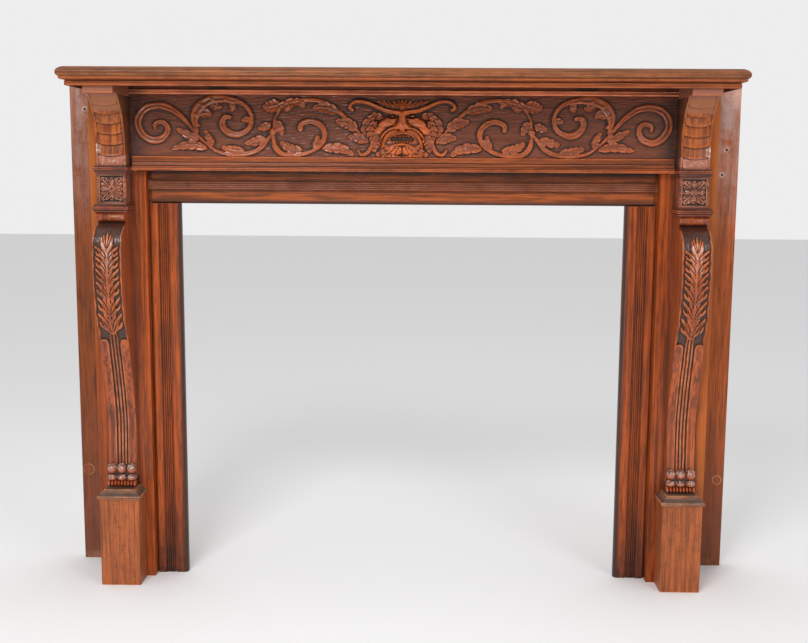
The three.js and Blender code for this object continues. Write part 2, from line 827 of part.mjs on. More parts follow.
// The plain roll that closes the leg under its cap.
function legRoll() {
  const top = lowerCapBottomZ - clearance;
  const radius = rollRadius;
  const front = pilasterFrontY - lowerCapProjection + radius - rollOverhang;
  const back = pilasterFrontY - clearance - legRim;
  const corners = [[back, top]];
  const turns = 4;
  for (let turn = 0; turn <= turns; turn += 1) {
    const angle = Math.PI / 2 + turn * Math.PI / turns;
    corners.push([front + radius * Math.cos(angle), top - radius + radius * Math.sin(angle)]);
  }
  corners.push([back, top - 2 * radius]);
  const half = columnWidth / 2 + rollOverhang;
  return runAlongX(corners, columnX - half, columnX + half);
}

function legLeaves() {
  const pieces = [];
  const whorls = 5;
  const first = bandEndShare + 0.02;
  const spacing = (leafEndShare - 0.1 - first) / (whorls - 0.5);
  const drawn = (points) => points.map(([across, up]) => [across, up * legHeight]);
  const onto = (across, up, height) => ontoLeg(across, up / legHeight, height);
  for (let whorl = 0; whorl < whorls; whorl += 1) {
    const foot = first + whorl * spacing;
    for (const sign of [-1, 1]) {
      pieces.push(leaf({
        line: drawn([[sign * 2, foot], [sign * 13, foot + 0.03], [sign * 25, foot + 0.062]]),
        halfWidth: 8.5, height: channelSink + leafProud, lobes: 2, onto,
      }));
    }
  }
  const fan = leafEndShare - 0.1;
  for (const spread of [-15, 0, 15]) {
    const reach = 0.1 - Math.abs(spread) * 0.0022;
    pieces.push(leaf({
      line: drawn([[spread * 0.15, fan], [spread * 0.6, fan + reach * 0.5], [spread, fan + reach]]),
      halfWidth: 7, height: channelSink + leafProud, lobes: 1, onto,
    }));
  }
  pieces.push(stem({
    line: drawn([[0, bandEndShare - 0.02], [0, 0.7], [0, fan + 0.01]]),
    halfWidths: [2.6, 2.6], height: channelSink - 0.5, steps: 3, onto,
  }));
  return pieces;
}

// Knuckles in two rows over a row of claws; the rows stand out as far as the paw does.
function paw() {
  const half = columnWidth / 2 + pawOverhang;
  const core = pawProjection - knuckleHeight;
  const back = pilasterFrontY - clearance;
  const coreHalf = half - pawOverhang * 3;
  const pieces = [
    box(columnX - coreHalf, columnX + coreHalf, back - core, back, legBottomZ, legBottomZ + pawHeight),
  ];
  const onto = (across, up, height) => new THREE.Vector3(columnX + across, back - height, legBottomZ + up);
  const toe = half * 2 / toeCount;
  for (let place = 0; place < toeCount; place += 1) {
    const across = (place + 0.5) * toe - half;
    for (const [level, reach] of [[0.76, 0.24], [0.33, 0.2]]) {
      pieces.push(dome({
        at: [across, pawHeight * level], reach: [toe * 0.54, pawHeight * reach],
        height: knuckleHeight, onto, lift: core,
      }));
    }
  }
  const clawSpacing = 2 * half / clawCount;
  for (let claw = 0; claw < clawCount; claw += 1) {
    const x = columnX - half + (claw + 0.5) * clawSpacing;
    const wide = clawSpacing * 0.38;
    const front = back - pawProjection + knuckleHeight * 0.25;
    pieces.push(box(x - wide, x + wide, front, back - core + 2, legBottomZ, legBottomZ + clawHeight));
  }
  return pieces;
}

function leg() {
  return joined([...legShaft(), legRoll(), ...legLeaves(), ...paw()]);
}

function lowerCap() {
  const z = lowerCapBottomZ;
  const top = rosetteBottomZ - clearance;
  const levels = [
    [lowerCapOverhang * 0.8, z],
    [lowerCapOverhang * 0.4, z + lowerCapHeight * 0.18],
    [lowerCapOverhang * 0.4, z + lowerCapHeight * 0.36],
    [0, z + lowerCapHeight * 0.44],
    [0, z + lowerCapHeight * 0.69],
    [lowerCapOverhang * 0.35, z + lowerCapHeight * 0.8],
    [lowerCapOverhang * 0.8, top],
  ];
  const half = columnWidth / 2 + lowerCapOverhang;
  return moulded(half, columnX, pilasterFrontY - lowerCapProjection, pilasterFrontY - clearance, levels);
}

function upperCap() {
  const z = upperCapBottomZ;
  const top = corbelBottomZ - clearance;
  const levels = [
    [upperCapOverhang, z],
    [upperCapOverhang * 0.6, z + upperCapHeight * 0.15],
    [upperCapOverhang * 0.2, z + upperCapHeight * 0.4],
    [0, z + upperCapHeight * 0.45],
    [0, z + upperCapHeight * 0.7],
    [upperCapOverhang * 0.5, z + upperCapHeight * 0.8],
    [upperCapOverhang * 0.5, top],
  ];
  const half = columnWidth / 2 + upperCapOverhang;
  return moulded(half, columnX, pilasterFrontY - upperCapProjection, pilasterFrontY - clearance, levels);
}

function rosetteBlock() {
  const half = columnWidth / 2;
  const face = pilasterFrontY - rosetteBlockProjection;
  const bottom = rosetteBottomZ;
  const top = upperCapBottomZ - clearance;
  const middle = (bottom + top) / 2;
  const fieldHalf = half - rosetteMargin;
  const fieldTall = (top - bottom) / 2 - rosetteMargin * 0.65;
  const block = box(columnX - half, columnX + half, face, pilasterFrontY - clearance, bottom, top);
  const field = box(
    columnX - fieldHalf, columnX + fieldHalf, face - rosetteSink, face + rosetteSink,
    middle - fieldTall, middle + fieldTall,
  );
  const ground = face + rosetteSink;
  const onto = (across, up, height) => new THREE.Vector3(columnX + across, ground - height, middle + up);
  const petals = [];
  const petalCount = 8;
  for (let turn = 0; turn < petalCount; turn += 1) {
    const angle = turn * 2 * Math.PI / petalCount;
    const diagonal = turn % 2 === 1;
    const reach = diagonal ? Math.min(fieldHalf, fieldTall) * 1.22 : Math.min(fieldHalf, fieldTall) * 0.9;
    const along = (share) => [Math.cos(angle) * reach * share, Math.sin(angle) * reach * share];
    petals.push(leaf({
      line: [along(0.1), along(0.55), along(1)],
      halfWidth: diagonal ? 9 : 4, height: rosetteSink * (diagonal ? 0.95 : 0.8), lobes: 1, onto,
    }));
  }
  const reach = [rosetteButton, rosetteButton];
  const button = dome({ at: [0, 0], reach, height: rosetteSink * 1.15, onto });
  return joined([cut(block, [field]), ...petals, button]);
}

// The corbel's hollow face: how far it stands out from the pilaster at one share of its height.
function corbelStandOff(share) {
  return corbelFootProjection + (corbelHeadProjection - corbelFootProjection) * Math.pow(share, corbelHollow);
}

function corbelProfile(sink) {
  const back = pilasterFrontY - clearance;
  const steps = 7;
  const corners = [[back, corbelBottomZ]];
  for (let step = 0; step <= steps; step += 1) {
    const share = Math.sqrt(step / steps);
    const z = THREE.MathUtils.lerp(corbelBottomZ, corbelBlockZ, share);
    corners.push([pilasterFrontY - corbelStandOff(share) + sink, z]);
  }
  corners.push([back, corbelBlockZ]);
  return corners;
}

// One row of the scales that cover the hollow face: bowed at its lower edge and thickest there.
function corbelScale(row) {
  const rise = corbelBlockZ - corbelBottomZ;
  const fieldHalf = columnWidth / 2 - corbelRimWidth + 0.5;
  const sunk = -1.5;
  const high = Math.min((row + 1.05) / scaleCount, 1);
  const loops = [-1, -0.5, 0.5, 1].map((place) => {
    const drop = scaleBow * (1 - place * place) / rise;
    const low = Math.max(row / scaleCount + 0.02 - drop, 0.001);
    const facing = (share, height) => new THREE.Vector3(
      columnX + place * fieldHalf,
      pilasterFrontY - corbelStandOff(share) + corbelFieldSink - height,
      corbelBottomZ + share * rise,
    );
    return [
      facing(low, sunk),
      facing(low, scaleRise),
      facing((low + high) / 2, scaleRise * 0.7),
      facing(high, 0),
      facing(high, sunk),
    ];
  });
  return loftedBody(loops);
}

function corbel() {
  const half = columnWidth / 2;
  const top = shelfBottomZ - clearance;
  const back = pilasterFrontY - clearance;
  const blockFront = pilasterFrontY - corbelBlockProjection;
  const pieces = [
    runAlongX(corbelProfile(corbelFieldSink), columnX - half + 1, columnX + half - 1),
    runAlongX(corbelProfile(0), columnX - half, columnX - half + corbelRimWidth),
    runAlongX(corbelProfile(0), columnX + half - corbelRimWidth, columnX + half),
    box(columnX - half, columnX + half, blockFront, back, corbelBlockZ - 0.5, top),
  ];
  for (let row = 0; row < scaleCount; row += 1) {
    pieces.push(corbelScale(row));
  }
  return joined(pieces);
}

addPiece('shelf', shelf(), finishes.polished);
addPiece('shelf_moulding_front', bedMouldingFront(), finishes.polished);
addPair('shelf_moulding', bedMouldingReturn(), finishes.polished);
addPiece('frieze_panel', friezePanel(), finishes.carved);
addPiece('frieze_top_strip', friezeTopStrip(), finishes.polished);
addPiece('frieze_lower_rail', friezeLowerRail(), finishes.polished);
addPiece('lintel', lintel(), finishes.polished);
addPair('jamb', jamb(), finishes.polished);
addPair('pilaster', pilaster(), finishes.polished);
addPair('pilaster_return', pilasterReturn(), finishes.dull);
addPair('back_board', backBoard(), finishes.dull);
addPair('plinth', plinth(), finishes.plinth);
addPair('plinth_cap', plinthCap(), finishes.plinth);
addPair('leg', leg(), finishes.carved);
addPair('lower_cap', lowerCap(), finishes.carved);
addPair('rosette_block', rosetteBlock(), finishes.carved);
addPair('upper_cap', upperCap(), finishes.carved);
addPair('corbel', corbel(), finishes.carved);

export default mantel;
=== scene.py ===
"""The looks of a carved oak fireplace mantel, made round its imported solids. Lengths are in metres,
and the carving's own drawings are in millimetres on its ground."""

import math

import bmesh
import bpy
import numpy as np
from mathutils import Matrix, Vector


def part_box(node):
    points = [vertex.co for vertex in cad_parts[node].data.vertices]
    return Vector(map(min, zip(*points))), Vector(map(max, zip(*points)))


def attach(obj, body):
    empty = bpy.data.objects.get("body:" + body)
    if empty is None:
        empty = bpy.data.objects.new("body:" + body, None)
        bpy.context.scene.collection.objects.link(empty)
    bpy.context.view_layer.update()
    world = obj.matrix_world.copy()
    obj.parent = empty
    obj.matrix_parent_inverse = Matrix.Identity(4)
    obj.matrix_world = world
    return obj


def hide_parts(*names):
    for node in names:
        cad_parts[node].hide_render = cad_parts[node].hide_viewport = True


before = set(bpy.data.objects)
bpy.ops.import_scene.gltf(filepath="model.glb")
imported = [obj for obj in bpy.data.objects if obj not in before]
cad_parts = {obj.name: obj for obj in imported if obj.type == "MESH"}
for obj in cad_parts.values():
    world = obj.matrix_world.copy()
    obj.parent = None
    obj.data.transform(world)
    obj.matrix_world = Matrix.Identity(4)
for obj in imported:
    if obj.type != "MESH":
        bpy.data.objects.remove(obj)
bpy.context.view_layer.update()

bl_info = {
    "name": "Carved oak mantel",
    "version": (1, 0, 0),
    "blender": (4, 5, 0),
    "location": "View3D > Sidebar > Mantel",
    "description": "Makes the carving, mouldings, finishes and stage of an oak fireplace mantel",
    "category": "Object",
}

MM = 0.001
SIDES = (("right", 1), ("left", -1))
BODY = "root"

# The gap that the solids leave between touching pieces
GAP = 0.3 * MM

# The camera of the reference view: its focal length in pixels of an 808 pixel wide frame, its turns in
# radians and its place over the floor in metres.
FRAME_WIDTH = 808
FOCAL_PIXELS = 1100.0
CAMERA_YAW, CAMERA_PITCH, CAMERA_ROLL = 0.0196, 0.1376, 0.0063
CAMERA_PLACE = Vector((0.0584, -2.6151, 1.0097))
SENSOR_WIDTH = 36.0


def colour(red, green, blue):
    """A colour given as screen values from 0 to 255, as the shader's linear values."""
    return tuple(
        v / 12.92 if v <= 0.04045 else ((v + 0.055) / 1.055) ** 2.4
        for v in (red / 255, green / 255, blue / 255)
    )


# Sizes and colours that a user would change


def length_setting(name, description, size):
    """A length that a user can change."""
    return bpy.props.FloatProperty(name=name, description=description, default=size, unit="LENGTH")


def colour_setting(name, description, *screen):
    """A colour that a user can change, given as screen values."""
    return bpy.props.FloatVectorProperty(
        name=name, description=description, subtype="COLOR", default=colour(*screen))


class MantelSizes(bpy.types.PropertyGroup):
    """Sizes of the carving and of the small roundings."""

    relief: length_setting("Scroll relief", "How far the scrolls stand out of the frieze's ground", 7 * MM)
    mask: length_setting("Mask relief", "How far the mask's highest parts stand out of the ground", 16.5 * MM)
    leaf_sink: length_setting("Leg sink", "How deep the ground is cut between the leg's leaves", 4.5 * MM)
    edge: length_setting("Edge rounding", "Radius of the worn edges of the boards", 1.1 * MM)
    waver: length_setting("Waver", "How far hand-worked faces stray from straight", 0.25 * MM)
    scales: bpy.props.IntProperty(
        name="Corbel scales", description="Rows of scales on a corbel's hollow face", default=7, min=2)


class MantelColours(bpy.types.PropertyGroup):
    """Main colours of the old varnished oak."""

    rail: colour_setting("Rails", "Lighter oak of the level rails", 162, 78, 26)
    upright: colour_setting("Uprights", "Lighter oak of the upright boards", 184, 82, 16)
    shelf: colour_setting("Shelf", "Lighter oak of the shelf", 152, 86, 42)
    carving: colour_setting("Carving", "Oak of the raised carving", 168, 80, 34)
    ground: colour_setting("Carved ground", "Dark oak between the scrolls", 122, 62, 38)
    plinth: colour_setting("Plinths", "Worn oak of the plinths", 184, 98, 50)
    back: colour_setting("Back boards", "Dull oak of the boards at the wall", 142, 72, 32)


# Places along lines and noise that is the same each time


def hand_waver(places, length, seed):
    """Smooth noise between -1 and 1 at each place, with waves of about the length given."""
    source = np.random.default_rng(seed)
    total = np.zeros(places.shape[:-1])
    waves = 6
    for _ in range(waves):
        heading = source.normal(size=places.shape[-1])
        heading *= 2 * math.pi / (length * np.linalg.norm(heading)) * source.uniform(0.5, 1.6)
        total += np.sin(places @ heading + source.uniform(0, 2 * math.pi))
    return total / waves * 1.8


def smooth_line(points, spacing=0.8):
    """Evenly spaced places on a smooth line through the points, their directions and its length."""
    points = np.array(points, float)
    padded = np.vstack([points[:1], points, points[-1:]])
    share = np.linspace(0, 1, 24, endpoint=False)[:, None]
    fine = []
    for first in range(len(points) - 1):
        before, start, end, after = padded[first:first + 4]
        leave, arrive = (end - before) / 2, (after - start) / 2
        fine.append(
            (2 * start - 2 * end + leave + arrive) * share ** 3
            + (3 * end - 3 * start - 2 * leave - arrive) * share ** 2
            + leave * share + start)
    fine = np.vstack(fine + [points[-1:]])
    run = np.concatenate([[0], np.cumsum(np.linalg.norm(np.diff(fine, axis=0), axis=1))])
    at = np.linspace(0, run[-1], max(int(run[-1] / spacing), 8) + 1)
    places = np.stack([np.interp(at, run, fine[:, side]) for side in (0, 1)], axis=1)
    ahead = np.gradient(places, axis=0)
    ahead /= np.linalg.norm(ahead, axis=1, keepdims=True)
    return places, ahead, run[-1]


def spaced(*stops):
    """Grid lines from (place, spacing) stops: each spacing holds up to the next stop."""
    lines = []
    for (place, spacing), (end, _) in zip(stops, stops[1:]):
        lines.append(np.linspace(place, end, max(round((end - place) / spacing), 1), endpoint=False))
    return np.concatenate(lines + [[stops[-1][0]]])


# Carving: heights over a ground, in millimetres, on a grid of places across and up


class Carving:
    """The heights of a relief, raised and sunk by its stems, leaves, domes and hollows."""

    def __init__(self, across, up, stray=0.6, seed=1):
        self.across, self.up = across, up
        places = np.stack(np.meshgrid(across, up, indexing="ij"), axis=-1)
        drift = np.stack([hand_waver(places, 45, seed), hand_waver(places, 45, seed + 1)], axis=-1)
        self.places = places + drift * stray
        self.height = np.zeros(places.shape[:2])

    def window(self, low, high):
        """The grid's lines between two corners, as a pair of slices."""
        return tuple(
            slice(np.searchsorted(lines, low[side]), np.searchsorted(lines, high[side]))
            for side, lines in enumerate((self.across, self.up)))

    def follow(self, points, reach, shape, chunk=60):
        """Raises what shape(share, offset, length) gives beside a smooth line."""
        places, ahead, length = smooth_line(points)
        count = len(places)
        shares = np.linspace(0, 1, count)
        for first in range(0, count, chunk):
            start, stop = max(first - 8, 0), min(first + chunk + 8, count)
            some = places[start:stop]
            window = self.window(some.min(0) - reach, some.max(0) + reach)
            spots = self.places[window]
            if spots.size == 0:
                continue
            gap = spots[:, :, None, :] - some
            nearest = (gap ** 2).sum(-1).argmin(-1)
            gap = np.take_along_axis(gap, nearest[:, :, None, None], axis=2)[:, :, 0]
            forward = ahead[start + nearest]
            offset = np.hypot(gap[..., 0], gap[..., 1])
            offset *= np.sign(forward[..., 0] * gap[..., 1] - forward[..., 1] * gap[..., 0])
            height = shape(shares[start + nearest], offset, length)
            inside = ((nearest > 0) | (start == 0)) & ((nearest < len(some) - 1) | (stop == count))
            self.height[window] = np.maximum(self.height[window], np.where(inside, height, 0))

    def stem(self, points, widths, height, strands=0, ridge=0.0):
        """A rounded stem; strands are grooves along it and ridge a hollow down its middle."""
        def shape(share, offset, _):
            half = np.interp(share, np.linspace(0, 1, len(widths)), widths)
            side = np.abs(offset) / half
            crown = height * (0.5 + 0.5 * np.sqrt(np.clip(1 - side ** 2, 0, 1)))
            if strands:
                crown *= 1 - 0.2 * (0.5 + 0.5 * np.cos(offset / half * math.pi * strands))
            crown *= 1 - ridge * np.exp(-(side / 0.35) ** 2)
            return np.where(side < 1, crown, 0)
        self.follow(points, max(widths) + 1, shape)

    def leaf(self, points, half_width, height, lobes=3, veins=0.35, cut=0.3):
        """A broad leaf, hollowed beside its rib, with lobes that lean towards its tip. Cut is how far the edge
        draws in between its lobes, as a share of the width."""
        def shape(share, offset, length):
            side = np.abs(offset)
            leaning = np.clip(share - 0.55 * side / length, 0, 1)
            lobe = (leaning * lobes) % 1.0
            swell = 0.16 + 0.84 * np.sin(math.pi * np.clip(share, 0, 1) ** 0.78) ** 0.75
            half = half_width * swell * (1.14 - cut + cut * np.sin(math.pi * lobe) ** 0.7) + 0.3
            out = side / half
            crest = height * (0.62 + 0.38 * np.sin(math.pi * np.minimum(share + 0.18, 1)))
            body = crest * (0.78 + 0.3 * out ** 2)
            gap = np.exp(-(np.minimum(lobe, 1 - lobe) / 0.12) ** 2)
            body -= crest * veins * gap * np.clip(out * 1.6 - 0.1, 0, 1)
            body += crest * 0.2 * np.exp(-(side / 1.2) ** 2)
            return np.where((out < 1) & (share < 0.995), body, 0)
        self.follow(points, half_width * 1.3 + 2, shape, chunk=400)

    def oval(self, at, reach, turn=0.0):
        """How far each place is from an oval's middle, with 1 at its rim, and its window."""
        widest = max(reach) + 1
        window = self.window((at[0] - widest, at[1] - widest), (at[0] + widest, at[1] + widest))
        gap = self.places[window] - np.array(at)
        across = gap[..., 0] * math.cos(turn) + gap[..., 1] * math.sin(turn)
        up = gap[..., 1] * math.cos(turn) - gap[..., 0] * math.sin(turn)
        return window, np.hypot(across / reach[0], up / reach[1])

    def dome(self, at, reach, height, turn=0.0, base=0.0, power=0.5):
        """A rounded swelling on an oval foot."""
        window, out = self.oval(at, reach, turn)
        crown = base + (height - base) * np.clip(1 - out ** 2, 0, 1) ** power
        self.height[window] = np.maximum(self.height[window], np.where(out < 1, crown, 0))

    def hollow(self, at, reach, floor, turn=0.0, soft=0.25):
        """Cuts an oval down to a floor, with sides that rise over its outer share."""
        window, out = self.oval(at, reach, turn)
        keep = np.clip((out - (1 - soft)) / soft, 0, 1)
        keep = keep ** 2 * (3 - 2 * keep)
        here = self.height[window]
        self.height[window] = np.where(here > floor, floor + (here - floor) * keep, here)

    def groove(self, points, half_width, depth):
        """Cuts a fine valley along a line into what is there already."""
        before = self.height.copy()
        self.height = np.zeros_like(before)
        self.follow(
            points, half_width * 2.5 + 1, lambda share, offset, _: depth * np.exp(-(offset / half_width) ** 2))
        self.height = np.maximum(before - self.height, 0)

    def standing(self, scale=1.6, cells=3):
        """How far each place stands over the cells round it, from -1 in a valley to 1 on an edge."""
        even, width = self.height, 2 * cells + 1
        for axis in (0, 1, 0, 1):
            edge = [(cells + 1, cells) if side == axis else (0, 0) for side in (0, 1)]
            run = np.moveaxis(np.cumsum(np.pad(even, edge, "edge"), axis=axis), axis, 0)
            even = np.moveaxis((run[width:] - run[:-width]) / width, 0, axis)
        return np.clip((self.height - even) / scale, -1, 1)


# Meshes

SHARP_ANGLE = math.radians(38)

# Softened corners: how far along the flats their relief reaches, the relief there, and the shortest flat
RELIEF_REACH, FLAT_RELIEF, SHORTEST_FLAT = 2 * MM, 0.1, 0.2 * MM

CHIP_LENGTH = 50 * MM
END_RELIEF = 0.6
BACK_SIDE = 2


class Shell:
    """Faces of one piece, gathered from its parts, with two values that the finish reads at each vertex:
    relief, from -1 in a recess to 1 on an edge, and proud, 0 on a carved ground and 1 or more on the carving."""

    def __init__(self):
        self.vertices, self.faces, self.relief, self.proud = [], [], [], []
        self.count = 0

    def add(self, vertices, faces, relief=0.0, proud=1.0):
        """Adds one part. Relief and proud are one value for all or one for each vertex."""
        vertices = np.asarray(vertices, float).reshape(-1, 3)
        self.vertices.append(vertices)
        self.faces += [[self.count + corner for corner in face] for face in faces]
        self.relief.append(np.broadcast_to(relief, len(vertices)))
        self.proud.append(np.broadcast_to(proud, len(vertices)))
        self.count += len(vertices)

    def rings(self, rings, relief=0.0, proud=1.0):
        """Joins closed loops of equally many points, first to last, and closes both ends."""
        rings = np.asarray(rings, float)
        loops, points = rings.shape[:2]
        place = np.arange(loops * points).reshape(loops, points)
        here, there = place[:-1], place[1:]
        quads = np.stack([here, np.roll(here, -1, 1), np.roll(there, -1, 1), there], axis=-1).reshape(-1, 4)
        faces = quads.tolist() + [place[0][::-1].tolist(), place[-1].tolist()]
        self.add(rings, faces, *(np.broadcast_to(value, (loops, points)).reshape(-1) for value in (relief, proud)))

    def ball(self, centre, radii, around=18, levels=10, relief=0.0):
        """A closed ball with its own reach along each axis. Its relief rises towards the front and back and drops
        round the rim between, which lays a painted highlight on the front and painted shade round the sides.
        """
        turns = np.arange(around) * 2 * math.pi / around
        vertices = [(0, 0, -1)]
        for level in range(1, levels):
            rise = -math.pi / 2 + math.pi * level / levels
            vertices += [(math.cos(t) * math.cos(rise), math.sin(t) * math.cos(rise), math.sin(rise)) for t in turns]
        vertices.append((0, 0, 1))
        faces = []
        for side in range(around):
            after = (side + 1) % around
            faces.append([0, 1 + after, 1 + side])
            for level in range(levels - 2):
                low, high = 1 + level * around, 1 + (level + 1) * around
                faces.append([low + side, low + after, high + after, high + side])
            last = 1 + (levels - 2) * around
            faces.append([last + side, last + after, len(vertices) - 1])
        unit = np.array(vertices)
        # Relief highest facing front and back: painted highlight there, painted shade round the rim
        self.add(unit * np.array(radii) + np.array(centre), faces, relief + 1.3 * np.abs(unit[:, 1]) ** 1.5 - 0.75)

    def mesh(self, mirror=False):
        """The gathered faces as a mesh, facing outwards."""
        vertices = np.concatenate(self.vertices) * np.array((-1 if mirror else 1, 1, 1))
        made = bpy.data.meshes.new("piece")
        made.from_pydata(vertices.tolist(), [], self.faces)
        for title, values in (("relief", self.relief), ("proud", self.proud)):
            layer = made.attributes.new(title, "FLOAT", "POINT")
            layer.data.foreach_set("value", np.concatenate(values).astype(np.float32))
        face_outwards(made)
        return made


def crisp(mesh):
    """Smooth shading that keeps the sharper edges crisp."""
    mesh.shade_smooth()
    mesh.set_sharp_from_angle(angle=SHARP_ANGLE)
    return mesh


def face_outwards(mesh):
    """Turns every face outwards."""
    work = bmesh.new()
    work.from_mesh(mesh)
    bmesh.ops.recalc_face_normals(work, faces=work.faces)
    work.to_mesh(mesh)
    work.free()
    return crisp(mesh)


def with_shell(mesh, shell):
    """A mesh and a shell's faces as one mesh."""
    work = bmesh.new()
    work.from_mesh(mesh)
    work.from_mesh(shell.mesh())
    made = bpy.data.meshes.new("piece")
    work.to_mesh(made)
    work.free()
    return crisp(made)


def add_piece(mesh, name, kind, *nodes):
    """Makes the mesh an object in a kind of finish, which stands for the frame's nodes."""
    mesh.materials.clear()
    mesh.materials.append(finish(kind))
    piece = bpy.data.objects.new(name, mesh)
    bpy.context.scene.collection.objects.link(piece)
    if nodes:
        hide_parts(*nodes)
    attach(piece, BODY)


def softened(corners, radius, closed=True, steps=3):
    """An outline with each corner rounded. Every point is (u, v, relief): 1 on a corner that stands out,
    -1 in one that turns in, and 0 a little way along the flats. The outline's body is on its left."""
    corners = np.array(corners, float)
    count = len(corners)
    made = []
    for at in range(count):
        here = corners[at]
        if not closed and at in (0, count - 1):
            made.append((*here, 0.0))
            continue
        before, after = corners[at - 1], corners[(at + 1) % count]
        back, on = before - here, after - here
        back_length, on_length = np.linalg.norm(back), np.linalg.norm(on)
        back, on = back / back_length, on / on_length
        turn = float(np.clip(on[0] * back[1] - on[1] * back[0], -1, 1))
        cut = min(radius, back_length * 0.42, on_length * 0.42)
        start, end = here + back * cut, here + on * cut

        def flat_beside(direction, length):
            """A point on the flat next to the corner, if the flat is long enough."""
            flat = min(RELIEF_REACH, length * 0.45 - cut)
            return [(*(here + direction * (cut + flat)), FLAT_RELIEF)] if flat > SHORTEST_FLAT else []

        made += flat_beside(back, back_length)
        for share in np.linspace(0, 1, steps + 1):
            point = start * (1 - share) ** 2 + here * 2 * share * (1 - share) + end * share ** 2
            made.append((*point, turn))
        made += flat_beside(on, on_length)
    return made


def shrunk(corners, insets):
    """A polygon, body on its left, with each side moved in by its own inset."""
    corners = np.array(corners, float)
    ahead = np.roll(corners, -1, 0) - corners
    ahead /= np.linalg.norm(ahead, axis=1, keepdims=True)
    inward = np.stack([-ahead[:, 1], ahead[:, 0]], axis=1)
    made = []
    for at, corner in enumerate(corners):
        sides = np.array([inward[at - 1], inward[at]])
        made.append(corner + np.linalg.solve(sides, np.array([insets[at - 1], insets[at]])))
    return np.array(made)


def divided(corners, spacing_counts):
    """A polygon's sides cut into equal steps, so many for each side."""
    made = []
    for at, count in enumerate(spacing_counts):
        start, end = corners[at], corners[(at + 1) % len(corners)]
        made += [start + (end - start) * step / count for step in range(count)]
    return np.array(made)


def stack(shell, corners, levels, place, fixed_sides=(), spacing=18 * MM, seed=5, chip=0.0, rest=8 * MM):
    """A body of one outline drawn in and out over its levels of (inset, level, relief), like a moulding that
    is mitred round it. Fixed sides keep their place. Place turns (u, v, level) into a point."""
    corners = np.array(corners, float)
    lengths = np.linalg.norm(np.roll(corners, -1, 0) - corners, axis=1)
    counts = np.maximum(np.round(lengths / spacing).astype(int), 1)
    (first_inset, first_level, _), (last_inset, last_level, _) = levels[0], levels[-1]
    levels = [(first_inset + rest, first_level, 0.0), *levels, (last_inset + rest, last_level, 0.0)]
    rings, relief = [], []

    def ring_at(inset, level):
        insets = [0.0 if side in fixed_sides else inset for side in range(len(corners))]
        return np.array([place(u, v, level) for u, v in divided(shrunk(corners, insets), counts)])

    for inset, level, value in levels:
        points = ring_at(inset, level)
        if chip and value > 0:
            nick = np.clip(hand_waver(points, CHIP_LENGTH, seed) - 0.55, 0, 1)
            points = points + (ring_at(inset + chip, level) - points) * nick[:, None]
        rings.append(points)
        relief.append(np.full(len(points), value))
    shell.rings(rings, np.array(relief))


def upright(u, v, level):
    """A plan outline (u across, v in depth) at a height."""
    return (u, v, level)


def facing(u, v, level):
    """A front outline (u across, v up) at a depth."""
    return (u, level, v)


def rectangle(u0, u1, v0, v1):
    """Corners of a rectangle with its body on the left."""
    return [(u0, v0), (u1, v0), (u1, v1), (u0, v1)]


def board(shell, corners, front, back, edge, chip=0.0, seed=5):
    """A flat board seen from the front, with softened front and back edges."""
    profile = softened([(12 * MM, front), (0, front), (0, back), (12 * MM, back)], edge, closed=False)
    levels = [(inset, level, max(value, 0.0)) for inset, level, value in profile[1:-1]]
    stack(shell, corners, levels, facing, chip=chip, seed=seed)


def block(shell, low, high, edge, chip=0.0, seed=6):
    """A block with softened edges all round."""
    profile = softened([(8 * MM, low[2]), (0, low[2]), (0, high[2]), (8 * MM, high[2])], edge, closed=False)
    levels = [(inset, level, abs(value)) for inset, level, value in profile[1:-1]]
    corner_cut = edge * 0.8
    corners = [
        (low[0] + corner_cut, low[1]), (high[0] - corner_cut, low[1]), (high[0], low[1] + corner_cut),
        (high[0], high[1]), (low[0], high[1]), (low[0], low[1] + corner_cut)]
    stack(shell, corners, levels, upright, chip=chip, seed=seed, rest=4 * MM)


def mitred(node, levels, edge, chip=0.0):
    """A moulded block whose front and two sides follow the same section; levels are (inset, height)."""
    low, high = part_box(node)
    outline = softened([(-inset, level) for inset, level in levels], edge, closed=False)
    made = [(-u, v, relief) for u, v, relief in outline]
    made[0] = (*made[0][:2], END_RELIEF)
    made[-1] = (*made[-1][:2], END_RELIEF)
    shell = Shell()
    stack(shell, rectangle(low[0], high[0], low[1], high[1]), made, upright, fixed_sides=(BACK_SIDE,),
          spacing=14 * MM, chip=chip, rest=6 * MM)
    return shell.mesh()


# Nodes


def added(tree, kind, inputs=(), output=0, **options):
    """Adds a node with its options and gives an output. Inputs are sockets to link or values to set."""
    node = tree.nodes.new(kind)
    for name, value in options.items():
        setattr(node, name, value)
    for name, value in dict(inputs).items():
        if isinstance(value, bpy.types.NodeSocket):
            tree.links.new(value, node.inputs[name])
        else:
            node.inputs[name].default_value = value
    return node.outputs[output]


